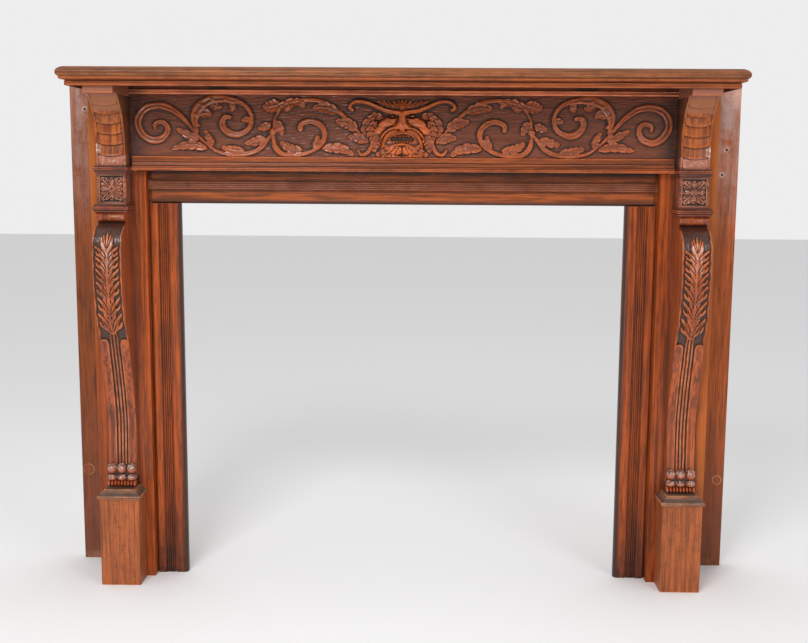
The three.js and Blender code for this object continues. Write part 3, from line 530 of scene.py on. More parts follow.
def grown(title, inputs, build, mesh, values):
    """What a geometry tree makes of a mesh, as a plain mesh. The tree has the inputs given and a finish, and
    build(tree, sockets) gives the geometry that is made real and finished at its end."""
    tree = bpy.data.node_groups.new(title, "GeometryNodeTree")
    for name, kind in {"Geometry": "Geometry", **inputs, "Finish": "Material"}.items():
        tree.interface.new_socket(name, in_out="INPUT", socket_type=f"NodeSocket{kind}")
    tree.interface.new_socket("Geometry", in_out="OUTPUT", socket_type="NodeSocketGeometry")
    given = tree.nodes.new("NodeGroupInput").outputs
    real = added(tree, "GeometryNodeRealizeInstances", {0: build(tree, given)})
    finished = added(tree, "GeometryNodeSetMaterial", {"Geometry": real, "Material": given["Finish"]})
    tree.links.new(finished, tree.nodes.new("NodeGroupOutput").inputs[0])
    seed = bpy.data.objects.new("seed", mesh)
    bpy.context.scene.collection.objects.link(seed)
    modifier = seed.modifiers.new("tree", "NODES")
    modifier.node_group = tree
    sockets = {s.name: s.identifier for s in tree.interface.items_tree if s.in_out == "INPUT"}
    for name, value in values.items():
        modifier[sockets[name]] = value
    made = bpy.data.meshes.new_from_object(seed.evaluated_get(bpy.context.evaluated_depsgraph_get()))
    seed.modifiers.clear()
    bpy.data.objects.remove(seed)
    return made


def moulding(tree, given):
    """Runs a section along a line and lets it waver a little."""
    section = added(tree, "GeometryNodeMeshToCurve", {0: given["Geometry"]})
    line = added(tree, "GeometryNodeCurvePrimitiveLine", {"End": given["Run"]})
    even = added(tree, "GeometryNodeResampleCurve", {"Curve": line, "Count": given["Steps"]})
    swept = added(tree, "GeometryNodeCurveToMesh", {"Curve": even, "Profile Curve": section, "Fill Caps": True})
    noise = added(tree, "ShaderNodeTexNoise", {"Scale": 9.0}, "Color")
    centred = added(tree, "ShaderNodeVectorMath", {0: noise, 1: (0.5, 0.5, 0.5)}, operation="SUBTRACT")
    stray = added(tree, "ShaderNodeVectorMath", {0: centred, "Scale": given["Waver"]}, operation="SCALE")
    return added(tree, "GeometryNodeSetPosition", {"Geometry": swept, "Offset": stray})


def scales_up_line(tree, given):
    """Sets one scale at each of so many even places up a line, turned to lie along it."""
    line = added(tree, "GeometryNodeMeshToCurve", {0: given["Geometry"]})
    even = added(tree, "GeometryNodeResampleCurve", {"Curve": line, "Count": given["Count"]})
    turn = added(tree, "FunctionNodeAlignRotationToVector", {
        "Vector": added(tree, "GeometryNodeInputTangent")}, axis="Z", pivot_axis="X")
    tile = added(tree, "GeometryNodeObjectInfo", {"Object": given["Scale piece"]}, "Geometry")
    return added(tree, "GeometryNodeInstanceOnPoints", {"Points": even, "Instance": tile, "Rotation": turn})


def line_mesh(points, closed=False):
    """Points in a line as a mesh of edges."""
    count = len(points)
    edges = [(at, at + 1) for at in range(count - 1)] + ([(count - 1, 0)] if closed else [])
    mesh = bpy.data.meshes.new("line")
    mesh.from_pydata(points, edges, [])
    return mesh


def run_moulding(section, axis, start, length, edge, kind, dirt=1.0, spacing=16 * MM):
    """A straight moulding. The section holds (depth, height) corners for a run along X, or (across, depth)
    for one up Z, with the body on the left of the outline."""
    outline = softened(section, edge)
    level = axis == "X"
    flip = -1 if level else 1
    mesh = line_mesh([(flip * u, flip * v, 0.0) for u, v, _ in outline], closed=True)
    layer = mesh.attributes.new("relief", "FLOAT", "POINT")
    # The recesses' relief, scaled by the last argument, paints grime and painted shade
    layer.data.foreach_set("value", [relief if relief > 0 else relief * dirt for _, _, relief in outline])
    ahead = Vector((1, 0, 0) if level else (0, 0, 1))
    made = grown("Moulding run", {"Run": "Vector", "Steps": "Int", "Waver": "Float"}, moulding, mesh, {
        "Run": ahead * length, "Steps": max(round(length / spacing), 2) + 1,
        "Waver": bpy.context.scene.mantel_sizes.waver, "Finish": finish(kind)})
    made.transform(Matrix.Translation(ahead * start))
    return face_outwards(made)


def sheared(mesh, places):
    """Moves each vertex to where places(x, y, z) says."""
    for vertex in mesh.vertices:
        vertex.co = places(*vertex.co)
    return mesh


# Finishes: shared effects as groups, and one material for each kind of oak


class Shades:
    """The nodes of one shader tree, and the colour that they have made so far."""

    def __init__(self, tree, vector):
        self.tree, self.vector = tree, vector
        self.place = added(tree, "ShaderNodeSeparateXYZ", {0: vector}).node.outputs
        self.colour = None

    def noise(self, scale, detail, roughness, seed, vector=None):
        """A noise texture's value, at its own place in the noise."""
        shifted = added(self.tree, "ShaderNodeVectorMath", {
            0: vector or self.vector, 1: (seed, seed * 1.7, seed * 0.6)}, operation="ADD")
        return added(self.tree, "ShaderNodeTexNoise", {
            "Vector": shifted, "Scale": scale, "Detail": detail, "Roughness": roughness}, "Fac")

    def ranged(self, value, low, high, to_low=0.0, to_high=1.0):
        """A value's range stretched to another one, and held there."""
        return added(self.tree, "ShaderNodeMapRange", {
            "Value": value, "From Min": low, "From Max": high, "To Min": to_low, "To Max": to_high}, clamp=True)

    def worked(self, operation, first, second=0.0):
        """One step of arithmetic between sockets or numbers."""
        return added(self.tree, "ShaderNodeMath", {0: first, 1: second}, operation=operation,
                     use_clamp=operation in ("ADD", "MULTIPLY", "SUBTRACT"))

    def times(self, first, *others):
        """Sockets or numbers multiplied together."""
        for other in others:
            first = self.worked("MULTIPLY", first, other)
        return first

    def mixed(self, share, first, second, mode="MIX"):
        """Two colours mixed by a share. Each is a socket or a colour."""
        first, second = ((*one[:3], 1.0) if isinstance(one, tuple) else one for one in (first, second))
        return added(self.tree, "ShaderNodeMix", {0: share, 6: first, 7: second}, 2, data_type="RGBA",
                     blend_type=mode)

    def paint(self, share, shade, mode="MIX"):
        """Lays another colour over the one made so far."""
        self.colour = self.mixed(share, self.colour, shade, mode)

    def attribute(self, name):
        """A value that the mesh holds at its vertices."""
        return added(self.tree, "ShaderNodeAttribute", {}, "Fac", attribute_name=name)

    def height(self, low, high, *to):
        """How far up a place is between two heights."""
        return self.ranged(self.place["Z"], low, high, *to)

    def across(self, low, high, *to):
        """How far to the right a place is between two others."""
        return self.ranged(self.place["X"], low, high, *to)

    def outwards(self, low, high):
        """How far out from the middle a place is between two others."""
        return self.ranged(self.worked("ABSOLUTE", self.place["X"]), low, high)

    def away(self, x, z):
        """How far a place is from a point of the front."""
        gap = added(self.tree, "ShaderNodeVectorMath", {0: self.vector, 1: (x, 0, z)}, operation="SUBTRACT")
        flat = added(self.tree, "ShaderNodeVectorMath", {0: gap, 1: (1, 0, 1)}, operation="MULTIPLY")
        return added(self.tree, "ShaderNodeVectorMath", {0: flat}, "Value", operation="LENGTH")

    def stretched(self, scale):
        """The places, drawn together along the grain."""
        return added(self.tree, "ShaderNodeMapping", {"Vector": self.vector, "Scale": scale})

    def shared(self, title, work, **inputs):
        """The outputs of a group that is made on first use: work(shades, sockets) gives them by name."""
        if title not in bpy.data.node_groups:
            group = bpy.data.node_groups.new(title, "ShaderNodeTree")
            for name in inputs:
                kind = "NodeSocketVector" if name == "Vector" else "NodeSocketFloat"
                group.interface.new_socket(name, in_out="INPUT", socket_type=kind)
            given = group.nodes.new("NodeGroupInput").outputs
            made = work(Shades(group, given["Vector"]), given)
            for name in made:
                group.interface.new_socket(name, in_out="OUTPUT", socket_type="NodeSocketFloat")
            result = group.nodes.new("NodeGroupOutput")
            for name, value in made.items():
                group.links.new(value, result.inputs[name])
        return added(self.tree, "ShaderNodeGroup", inputs, node_tree=bpy.data.node_groups[title]).node.outputs


def oak_grain(group, given):
    """Oak seen along a stretched vector: broad tone, streaks of the year rings, and pores."""
    streak = group.worked("ADD", group.times(group.noise(105, 3, 0.6, 7.7), 0.6),
                          group.times(group.noise(300, 4, 0.65, 1.3), 0.4))
    return {
        "Tone": group.ranged(group.noise(14, 3, 0.55, 3.1), 0.38, 0.62),
        "Streak": group.ranged(streak, 0.435, 0.56),
        "Pore": group.ranged(group.noise(320, 3, 0.6, 9.2), 0.54, 0.64)}


def old_surface(group, given):
    """Darkening in recesses, grime together with painted shade, and the lighter wear with painted highlight on
    edges, broken up over the surface.
    """
    relief, patchy = given["Relief"], group.noise(34, 5, 0.6, 2.2)
    return {
        "Dirt": group.times(group.ranged(relief, -0.08, -0.8), group.ranged(patchy, 0.25, 0.55, 0.6, 1.0)),
        "Wear": group.times(group.ranged(relief, 0.25, 0.9), group.ranged(patchy, 0.42, 0.6, 0.3, 1.0)),
        "Smudge": group.ranged(group.noise(7, 5, 0.65, 5.5), 0.45, 0.72)}


GRAIN_STRETCH = {"X": (0.042, 1.0, 1.0), "Z": (1.0, 1.0, 0.042)}
COAT_ROUGHNESS = 0.17
SPECULAR = 0.3
GRAIN_DEPTH = 0.6 * MM


def oak(title, light, dark, grain="X", dirt=(0.022, 0.011, 0.008), worn=None, ground=None, rough=0.42,
        coat=0.15, extra=None, smudge=0.35, bump=0.35, high=None):
    """Old varnished oak: light and dark streaks, pores, grime with painted shade in its recesses, and worn edges
    with painted highlights. Ground is the colour between raised carving, high that of its highest parts, worn that
    of the worn and highlighted edges, and extra(shades) adds a finish's own marks."""
    if title in bpy.data.materials:
        return bpy.data.materials[title]
    material = bpy.data.materials.new(title)
    material.use_nodes = True
    tree = material.node_tree
    shades = Shades(tree, added(tree, "ShaderNodeTexCoord", {}, "Object"))
    figure = shades.shared("Oak grain", oak_grain, Vector=shades.stretched(GRAIN_STRETCH[grain]))
    surface = shades.shared(
        "Old surface", old_surface, Relief=shades.attribute("relief"), Vector=shades.vector)
    tone = shades.worked("ADD", shades.times(figure["Streak"], 0.72), shades.times(figure["Tone"], 0.34))
    shades.colour = shades.mixed(tone, dark, light)
    if ground is not None:
        proud = shades.attribute("proud")
        low = shades.mixed(tone, darker(ground, 0.62), ground)
        shades.colour = shades.mixed(shades.ranged(proud, 0.12, 0.6), low, shades.colour)
        if high is not None:
            patches = shades.ranged(shades.noise(22, 3, 0.6, 6.1), 0.42, 0.58, 0.25, 1.0)
            shades.paint(shades.times(shades.ranged(proud, 2.4, 4.0, 0.0, 0.9), patches), high)
    shades.paint(shades.times(figure["Pore"], 0.55), darker(dark, 0.35))
    shades.paint(shades.times(surface["Smudge"], smudge), darker(dark, 0.5))
    if extra is not None:
        extra(shades)
    # Grime and painted shade in the recesses
    shades.paint(surface["Dirt"], dirt)
    # Lighter wear and painted highlight on the edges: the worn colour, or else a lighter copy of the light one
    shades.paint(shades.times(surface["Wear"], 0.75), worn or tuple(min(c * 1.35 + 0.02, 1.0) for c in light))
    dullness = shades.worked("ADD", shades.times(figure["Streak"], 0.1), shades.times(surface["Dirt"], 0.25))
    rise = shades.worked("SUBTRACT", shades.times(figure["Streak"], 0.6), shades.times(figure["Pore"], 0.6))
    raised = added(tree, "ShaderNodeBump", {"Strength": bump, "Distance": GRAIN_DEPTH, "Height": rise})
    shader = tree.nodes["Principled BSDF"]
    for name, value in (("Base Color", shades.colour), ("Roughness", shades.worked("ADD", dullness, rough)),
                        ("Normal", raised)):
        tree.links.new(value, shader.inputs[name])
    shader.inputs["Coat Weight"].default_value = coat
    shader.inputs["Coat Roughness"].default_value = COAT_ROUGHNESS
    shader.inputs["Specular IOR Level"].default_value = SPECULAR
    return material


# Marks on the back boards, across and up: the round plugs with their radius, and the nail holes
PLUGS = ((-0.8071, 0.2372, 13.5 * MM), (0.8067, 0.2275, 11 * MM))
NAIL_HOLES = ((-0.7877, 1.152), (0.7936, 1.0612), (0.7849, 1.0004))
PLUG_RING = 1.6 * MM


def plastered(shades):
    """Pale plaster on the boards' tops, more of it on the right one, chipped feet, plugs, and nail holes whose dark
    middles are painted shade.
    """
    rough_patch = shades.noise(30, 8, 0.78, 4.4)
    rubbed = shades.noise(70, 5, 0.7, 1.9, shades.stretched((1.0, 1.0, 0.12)))
    shades.paint(shades.times(shades.across(-0.1, 0.1), shades.height(0.05, 0.5)), (2.1, 2.0, 1.9), "MULTIPLY")
    shades.paint(shades.times(shades.height(0.52, 0.12), shades.ranged(rough_patch, 0.35, 0.6, 0.1, 0.5)),
                 colour(126, 80, 68))
    plaster = shades.times(shades.height(0.82, 1.16), shades.across(-0.1, 0.1, 0.5, 1.0),
                           shades.ranged(rough_patch, 0.3, 0.54), shades.ranged(rubbed, 0.38, 0.56, 0.35, 1.0))
    shades.paint(plaster, colour(200, 166, 156))
    golden = shades.times(shades.outwards(0.79, 0.755), shades.height(0.5, 0.8), 0.55)
    shades.paint(golden, colour(170, 96, 44))
    chipped = shades.times(shades.height(0.022, 0.008), shades.ranged(rough_patch, 0.4, 0.6), 0.7)
    shades.paint(chipped, colour(158, 112, 88))
    for x, z, radius in PLUGS:
        away = shades.away(x, z)
        ring = shades.times(shades.ranged(away, radius - PLUG_RING, radius),
                            shades.ranged(away, radius + PLUG_RING, radius),
                            shades.ranged(rough_patch, 0.4, 0.55, 0.15, 1.0))
        shades.paint(ring, colour(216, 156, 108))
        shades.paint(shades.ranged(away, radius - 2 * MM, 2 * MM, 0.0, 0.65), colour(168, 78, 30))
    for x, z in NAIL_HOLES:
        away = shades.away(x, z)
        halo = shades.times(shades.ranged(away, 8.5 * MM, 4 * MM), shades.ranged(rough_patch, 0.4, 0.6))
        shades.paint(halo, colour(224, 205, 196))
        # The nail hole's dark middle is painted shade, as no hole is cut in the board
        shades.paint(shades.ranged(away, 3.6 * MM, 2.6 * MM), colour(40, 22, 16))


def lintel_marks(shades):
    """Dusty reeds, a painted shadow under the rail and a dark edge along the opening."""
    dust = shades.noise(16, 5, 0.65, 7.3)
    shades.paint(shades.times(shades.height(0.957, 0.960), shades.height(0.980, 0.977),
                              shades.ranged(dust, 0.38, 0.58, 0.3, 0.75)), colour(186, 114, 84))
    # A painted shadow in a thin band right under the rail, broken up by noise
    shades.paint(shades.times(shades.height(0.989, 0.999), shades.ranged(dust, 0.35, 0.5, 0.6, 0.95)),
                 colour(40, 20, 14))
    shades.paint(shades.height(0.936, 0.928, 0.0, 0.85), colour(54, 32, 26))


def darker_foot(shades):
    """Boards darker towards the floor and along the opening."""
    patches = shades.ranged(shades.noise(30, 6, 0.7, 8.1), 0.3, 0.6, 0.35, 1.0)
    shades.paint(shades.times(shades.height(0.2, 0.0), patches), colour(42, 26, 20))
    shades.paint(shades.times(shades.outwards(0.5455, 0.5385), 0.85), colour(50, 32, 28))


def flecked(shades):
    """Small dark flecks of worn plinths."""
    flecks = shades.ranged(shades.noise(220, 3, 0.6, 6.3), 0.57, 0.68, 0.0, 0.42)
    patches = shades.ranged(shades.noise(42, 5, 0.7, 2.6), 0.52, 0.68, 0.0, 0.4)
    shades.paint(shades.worked("ADD", flecks, patches), colour(96, 52, 34))


FLUTE_WIDTH = 5.5 * MM


def scaled_tones(shades):
    """Scales that turn from tan at the top through orange to a dull pink. The row above the pink one has dark
    stripes of painted shade for fluting, and pale painted highlights lie on the pink row and the fluted row's outer
    end.
    """
    shades.paint(shades.height(1.136, 1.142, 0.0, 0.8), colour(160, 98, 60))
    shades.paint(shades.height(1.169, 1.171), colour(146, 88, 66))
    wave = added(shades.tree, "ShaderNodeMath", {0: shades.place["X"], 1: 2 * math.pi / FLUTE_WIDTH},
                 operation="MULTIPLY")
    row = shades.times(shades.height(1.040, 1.042), shades.height(1.065, 1.062))
    # Dark stripes of painted shade, for fluting grooves that the mesh does not carve
    flute_shade = shades.times(shades.ranged(shades.worked("SINE", wave), 0.1, 0.9), row, 0.75)
    shades.paint(flute_shade, colour(84, 36, 16))
    low = shades.height(1.041, 1.037)
    shades.paint(shades.times(low, 0.75), colour(160, 96, 76))
    rubbed = shades.ranged(shades.noise(130, 4, 0.7, 5.9), 0.5, 0.62)
    # Pale streaks of painted highlight on the lowest scale
    shades.paint(shades.times(low, rubbed, 0.6), colour(204, 156, 136))
    # A pale painted highlight at the outer end of the fluted row
    pale = shades.times(shades.outwards(0.698, 0.709), row, shades.ranged(rubbed, 0.0, 0.6, 0.25, 0.9))
    shades.paint(pale, colour(222, 196, 182))


def golden_edge(shades):
    """A golden strip down the pilaster's outer side, and painted shade on the board close to the column."""
    high = shades.worked("ADD", shades.height(0.55, 0.95), shades.across(-0.1, 0.1, 0.0, 0.8))
    shades.paint(shades.times(shades.outwards(0.715, 0.732), high, 0.7), colour(190, 104, 34))
    # Painted shade on the board beside and behind the column
    shade = shades.times(shades.outwards(0.628, 0.642), shades.outwards(0.725, 0.713), 0.6)
    shades.paint(shade, colour(70, 34, 20))


def painted_shade_ends(shades):
    """Painted shade at the ends of the frieze and of the strip over it, beside the corbels, broken up by noise."""
    patches = shades.ranged(shades.noise(24, 5, 0.6, 3.7), 0.35, 0.6, 0.5, 0.85)
    # Painted shade
    shades.paint(shades.times(shades.outwards(0.592, 0.628), patches), colour(56, 36, 30))


def paw_tones_and_highlights(shades):
    """Knuckles painted orange on their lower halves, with specks of pale painted highlight on their tops."""
    upper = shades.times(shades.height(0.287, 0.279), shades.height(0.2685, 0.2715))
    under = shades.worked("ADD", upper, shades.height(0.263, 0.257))
    shades.paint(shades.times(under, 0.75), colour(188, 84, 34))
    # Specks of pale painted highlight on the knuckles' tops
    highlight_specks = shades.ranged(shades.noise(210, 3, 0.6, 7.7), 0.53, 0.6, 0.0, 0.8)
    shades.paint(shades.times(shades.worked("SUBTRACT", 1.0, under), highlight_specks), colour(222, 198, 188))


def leg_painted_highlight(shades):
    """Painted highlight: pale colour on the edges of the leg's uppermost leaves."""
    edges = shades.ranged(shades.attribute("relief"), 0.1, 0.6)
    leaves = shades.ranged(shades.attribute("proud"), 1.7, 1.9)
    # Pale painted highlight
    shades.paint(shades.times(edges, shades.height(0.755, 0.805), leaves, 0.75), colour(228, 194, 176))


def darker(base, share):
    """A colour made darker."""
    return tuple(c * share for c in base)


def finish(kind):
    """The finish of one kind of piece, in the user's colours."""
    user = bpy.context.scene.mantel_colours
    rail, post, shelf, carving, ground, plinth, back = (
        tuple(getattr(user, name)) for name in ("rail", "upright", "shelf", "carving", "ground", "plinth", "back"))
    # The worn colours serve both wear and painted highlights, and the colours for recesses both grime and painted
    # shade
    made = {
        "rail": dict(light=rail, dark=darker(rail, 0.3)),
        # The strip's oak is a lighter, pinker copy of the rails' oak: painted light that makes up for the shade
        # under the shelf
        "strip": dict(light=colour(226, 128, 84), dark=colour(134, 66, 40), extra=painted_shade_ends),
        "lintel": dict(light=darker(rail, 1.06), dark=darker(rail, 0.32), extra=lintel_marks),
        "shelf": dict(light=shelf, dark=darker(shelf, 0.3), rough=0.46),
        "upright": dict(light=post, dark=darker(post, 0.3), grain="Z", extra=golden_edge),
        "jamb": dict(light=post, dark=darker(post, 0.3), grain="Z", extra=darker_foot),
        "frieze": dict(
            light=carving, dark=darker(carving, 0.42), ground=ground, high=colour(214, 98, 8),
            worn=colour(188, 94, 46), dirt=(0.035, 0.015, 0.009), rough=0.34, coat=0.4, bump=0.15,
            extra=painted_shade_ends),
        "leg": dict(
            light=colour(190, 90, 32), dark=colour(98, 42, 20), ground=colour(84, 52, 42),
            worn=colour(200, 118, 72), dirt=(0.032, 0.018, 0.014), grain="Z", rough=0.3, coat=0.4,
            extra=leg_painted_highlight),
        "paw": dict(
            light=colour(158, 94, 66), dark=colour(88, 50, 36), worn=colour(190, 140, 118), grain="Z",
            rough=0.3, coat=0.6, extra=paw_tones_and_highlights),
        "dark": dict(
            light=colour(112, 56, 38), dark=colour(46, 22, 16), worn=colour(204, 98, 54), rough=0.34, coat=0.3),
        "rosette": dict(
            light=colour(166, 96, 68), dark=colour(92, 50, 36), ground=colour(70, 40, 30),
            worn=colour(208, 156, 130), dirt=(0.03, 0.016, 0.012), rough=0.3, coat=0.45),
        "corbel": dict(
            light=colour(186, 98, 30), dark=colour(118, 50, 14), grain="Z", coat=0.3, extra=scaled_tones),
        "plinth": dict(light=plinth, dark=darker(plinth, 0.5), grain="Z", rough=0.5, extra=flecked),
        "plinth_cap": dict(
            light=colour(124, 92, 74), dark=colour(66, 50, 42), worn=colour(236, 146, 92), rough=0.5, smudge=0.7),
        "back": dict(light=back, dark=darker(back, 0.5), grain="Z", rough=0.58, coat=0.0, extra=plastered),
        "hidden": dict(light=darker(back, 0.9), dark=darker(back, 0.45), grain="Z", rough=0.6, coat=0.0),
    }
    return oak(f"{kind}_oak", **made[kind])


# The frieze's carving, drawn on a ground of this half length and height; lines run from the middle outwards

DRAWN_HALF_LENGTH = 643
DRAWN_HEIGHT = 144.5

VINE = [
    (304, -18), (316, -30), (333, -50), (353, -62), (382, -67), (412, -67), (438, -59), (456, -47), (470, -35),
    (482, -22), (495, -7), (511, 12), (529, 29), (549, 41), (572, 46), (595, 43), (612, 33), (622, 17), (623, 0),
    (617, -15), (606, -27), (590, -35), (573, -33), (559, -24), (553, -9), (559, 4), (572, 8), (583, 3), (582, -6),
]
VINE_WIDTHS = [3.5, 6, 5.5, 5, 4, 3.5, 3.5, 4.5, 6.5, 8, 8.5, 9, 9, 8.5, 7.5, 6, 4]
CURL = [
    (482, -14), (488, 6), (487, 27), (476, 44), (461, 55), (443, 61), (424, 62), (404, 60), (386, 56), (371, 48),
    (360, 35), (354, 18), (358, 0), (369, -13), (386, -20), (405, -18), (419, -7), (424, 7), (418, 19), (406, 20),
]
CURL_WIDTHS = [3, 9, 12, 11, 9, 7, 5, 4.5, 5.5, 7, 8, 7.5, 5]
BRANCH = [
    (305, -12), (303, 6), (296, 25), (286, 40), (273, 51), (255, 58), (232, 61), (209, 60), (188, 56), (167, 46),
    (147, 32), (129, 17), (112, -1), (98, -18), (86, -34),
]
BRANCH_WIDTHS = [2, 2.2, 2.8, 4.5, 5.5, 4.5, 3, 2.4]
INNER = [
    (304, -24), (300, -47), (286, -63), (262, -68), (236, -66), (212, -58), (193, -45), (183, -27), (184, -9),
    (195, 4), (211, 11), (227, 10), (239, 3), (240, -8),
]
INNER_WIDTHS = [4, 6.5, 5.5, 5, 4.5, 5, 6.5, 7, 6.5, 6]

# Leaves of one half: the line from foot to tip, the half width and the number of lobes
SCROLL_LEAVES = [
    ([(480, -34), (505, -22), (532, -7)], 9, 3),
    ([(461, -54), (490, -46), (516, -48), (545, -55)], 10, 4),
    ([(449, -50), (453, -34), (466, -10)], 8, 3),
    ([(322, -26), (345, -36), (371, -42)], 10, 3),
    ([(370, -60), (396, -59), (427, -49)], 11, 4),
    ([(309, 6), (324, -3), (342, -7)], 9, 3),
    ([(285, 53), (304, 46), (329, 43)], 14, 4),
    ([(301, 12), (290, -2), (281, -21)], 10, 3),
    ([(262, 56), (268, 45), (273, 33)], 10, 3),
    ([(150, 33), (180, 43), (211, 42)], 12, 4),
    ([(292, 42), (262, 54), (222, 58)], 9, 4),
    ([(106, -10), (127, 6), (157, 12)], 12, 4),
    ([(86, -38), (104, -26), (128, -27)], 10, 3),
    ([(188, -52), (162, -50), (137, -54), (113, -68)], 11, 4),
    ([(234, -56), (260, -54), (289, -37)], 11, 4),
    ([(210, -52), (199, -37), (200, -20)], 8, 3),
    ([(479, 24), (462, 30), (450, 22)], 10, 3),
    ([(452, 56), (436, 44), (424, 44)], 9, 3),
    ([(404, 58), (398, 46), (402, 32)], 8, 3),
    ([(356, 10), (366, 14), (378, 10)], 7, 2),
    ([(240, 60), (236, 50), (228, 44)], 7, 2),
]

BROW = [(0, 30), (20, 33), (38, 36.5), (54, 43), (70, 50), (88, 56), (105, 57), (118, 52), (123, 43), (117, 38)]
BROW_WIDTHS = [6.5, 5.5, 5, 4.5, 4, 4, 4, 4.5]
MOUSTACHE = [(3, -11), (20, -12.5), (33, -20), (42, -34), (46, -48)]
MOUSTACHE_WIDTHS = [3.5, 5, 5.5, 5, 3.5]
JAW_CURL = [(62, -28), (72, -46), (82, -62), (96, -66), (104, -56)]
JAW_CURL_WIDTHS = [6, 5, 5, 4, 3]

# Locks and folds of one half of the mask: line, half width, lobes and share of the mask's height
MASK_LEAVES = [
    ([(4, 35), (6, 48), (9, 62)], 4, 1, 0.55),
    ([(11, 36), (15, 48), (21, 61)], 4.5, 1, 0.5),
    ([(19, 36), (27, 48), (34, 59)], 4.5, 1, 0.46),
    ([(28, 38), (38, 49), (48, 60)], 4.5, 1, 0.42),
    ([(38, 42), (50, 51), (64, 60)], 4, 1, 0.36),
    ([(44, 22), (58, 24), (72, 31)], 7, 2, 0.5),
    ([(62, 24), (80, 12), (87, -12), (82, -40)], 9, 5, 0.42),
    ([(60, 12), (72, -4), (72, -24), (62, -44)], 9, 5, 0.55),
    ([(52, -20), (62, -38), (66, -60)], 11, 4, 0.5),
    ([(8, -57), (34, -60), (62, -66)], 11, 4, 0.62),
    ([(30, -44), (40, -52), (48, -62)], 8, 2, 0.62),
]


def on_side(sign, points):
    """A line drawn on the right half, on the side that the sign says."""
    return [(sign * across, up) for across, up in points]


def carve_scrolls(carving, sign, relief):
    """The scrolls and leaves of one half of the frieze."""
    for points, half_width, lobes in SCROLL_LEAVES:
        carving.leaf(on_side(sign, points), half_width, relief * 0.85, lobes)
    carving.stem(on_side(sign, VINE), VINE_WIDTHS, relief * 0.85, ridge=0.3)
    carving.stem(on_side(sign, CURL), CURL_WIDTHS, relief, ridge=0.25)
    carving.stem(on_side(sign, BRANCH), BRANCH_WIDTHS, relief * 0.72, ridge=0.1)
    carving.stem(on_side(sign, INNER), INNER_WIDTHS, relief * 0.9, ridge=0.2)
    curl_leaves = [((482, 2), 8), ((484, 24), 9), ((470, 46), 9), ((444, 60), 9), ((414, 60), 8), ((386, 54), 7)]
    for (across, up), reach in curl_leaves:
        carving.dome((sign * across, up), (reach, reach * 0.55), relief * 1.05, turn=sign * 0.6, base=relief * 0.4)
    carving.dome((sign * 304, -14), (8, 9), relief * 1.1, base=relief * 0.4)


def carve_mask_half(carving, sign, tall):
    """One half of the mask, from the locks at the back to the nose at the front."""
    for points, half_width, lobes, share in MASK_LEAVES:
        carving.leaf(on_side(sign, points), half_width, tall * share, lobes, veins=0.45)
    carving.stem(on_side(sign, JAW_CURL), JAW_CURL_WIDTHS, tall * 0.42, ridge=0.15)
    carving.dome((sign * 35, 8), (22, 10.5), tall * 0.9, turn=-sign * 0.3, base=tall * 0.5)
    carving.dome((sign * 51, -7), (17, 10), tall * 0.68, turn=-sign * 0.7, base=tall * 0.4)
    carving.stem(on_side(sign, MOUSTACHE), MOUSTACHE_WIDTHS, tall * 0.82, strands=2)
    carving.stem(on_side(sign, [(12, -4), (26, -5), (40, -14), (50, -28)]), [3, 4, 4, 2], tall * 0.78)
    carving.stem(on_side(sign, BROW), BROW_WIDTHS, tall * 0.9, ridge=0.12)
    carving.hollow((sign * 23.5, 23.5), (14.5, 6), tall * 0.02, soft=0.2)
    carving.dome((sign * 23.5, 23.5), (6.5, 3.6), tall * 0.42, base=tall * 0.1)
    carving.stem(on_side(sign, [(11, 18), (24, 15.5), (37, 18.5)]), [1.2, 1.8, 1.2], tall * 0.84)
    carving.dome((sign * 14, -1), (9, 6.5), tall * 0.95, base=tall * 0.5)
    carving.hollow((sign * 8.5, -8.5), (3.4, 2.2), tall * 0.25)
    carving.groove(on_side(sign, [(15, 1.5), (28, -3), (46, -14)]), 1.3, tall * 0.3)
    carving.groove(on_side(sign, [(20, 9), (36, 9), (54, 2)]), 1.0, tall * 0.08)
    carving.dome((sign * 17, -55), (20, 12.5), tall * 0.78, base=tall * 0.4)
    carving.stem(on_side(sign, [(3, -69.5), (22, -70), (40, -68), (54, -63)]), [1.6, 2.2, 2.2, 1.4], tall * 0.62)


def carve_mask_middle(carving, tall):
    """The mask's nose, mouth and chin."""
    carving.stem([(0, 29), (0, 14), (0, 2)], [7.5, 9, 13], tall * 0.92)
    carving.dome((0, 2.5), (14, 9), tall, base=tall * 0.6)
    carving.leaf([(0, 34), (0, 48), (0, 63)], 4.5, tall * 0.6, 1, veins=0.3)
    carving.hollow((0, -29.5), (30, 12), tall * 0.02)
    for place in range(-3, 4):
        carving.dome((place * 6.4, -36.5), (2.7, 3.4), tall * 0.5, base=tall * 0.25)
        carving.dome((place * 5.2, -23), (2.3, 2.8), tall * 0.45, base=tall * 0.2)
    carving.stem([(-27, -46), (0, -41.5), (27, -46)], [2.2, 3.4, 2.2], tall * 0.84)
    for across in (-24, -12, 0, 12, 24):
        carving.groove([(across * 0.6, -48), (across, -57), (across * 1.4, -66)], 1.2, tall * 0.14)


# The height in millimetres at which raised carving has its own colour
FULL_HEIGHT = 3.0


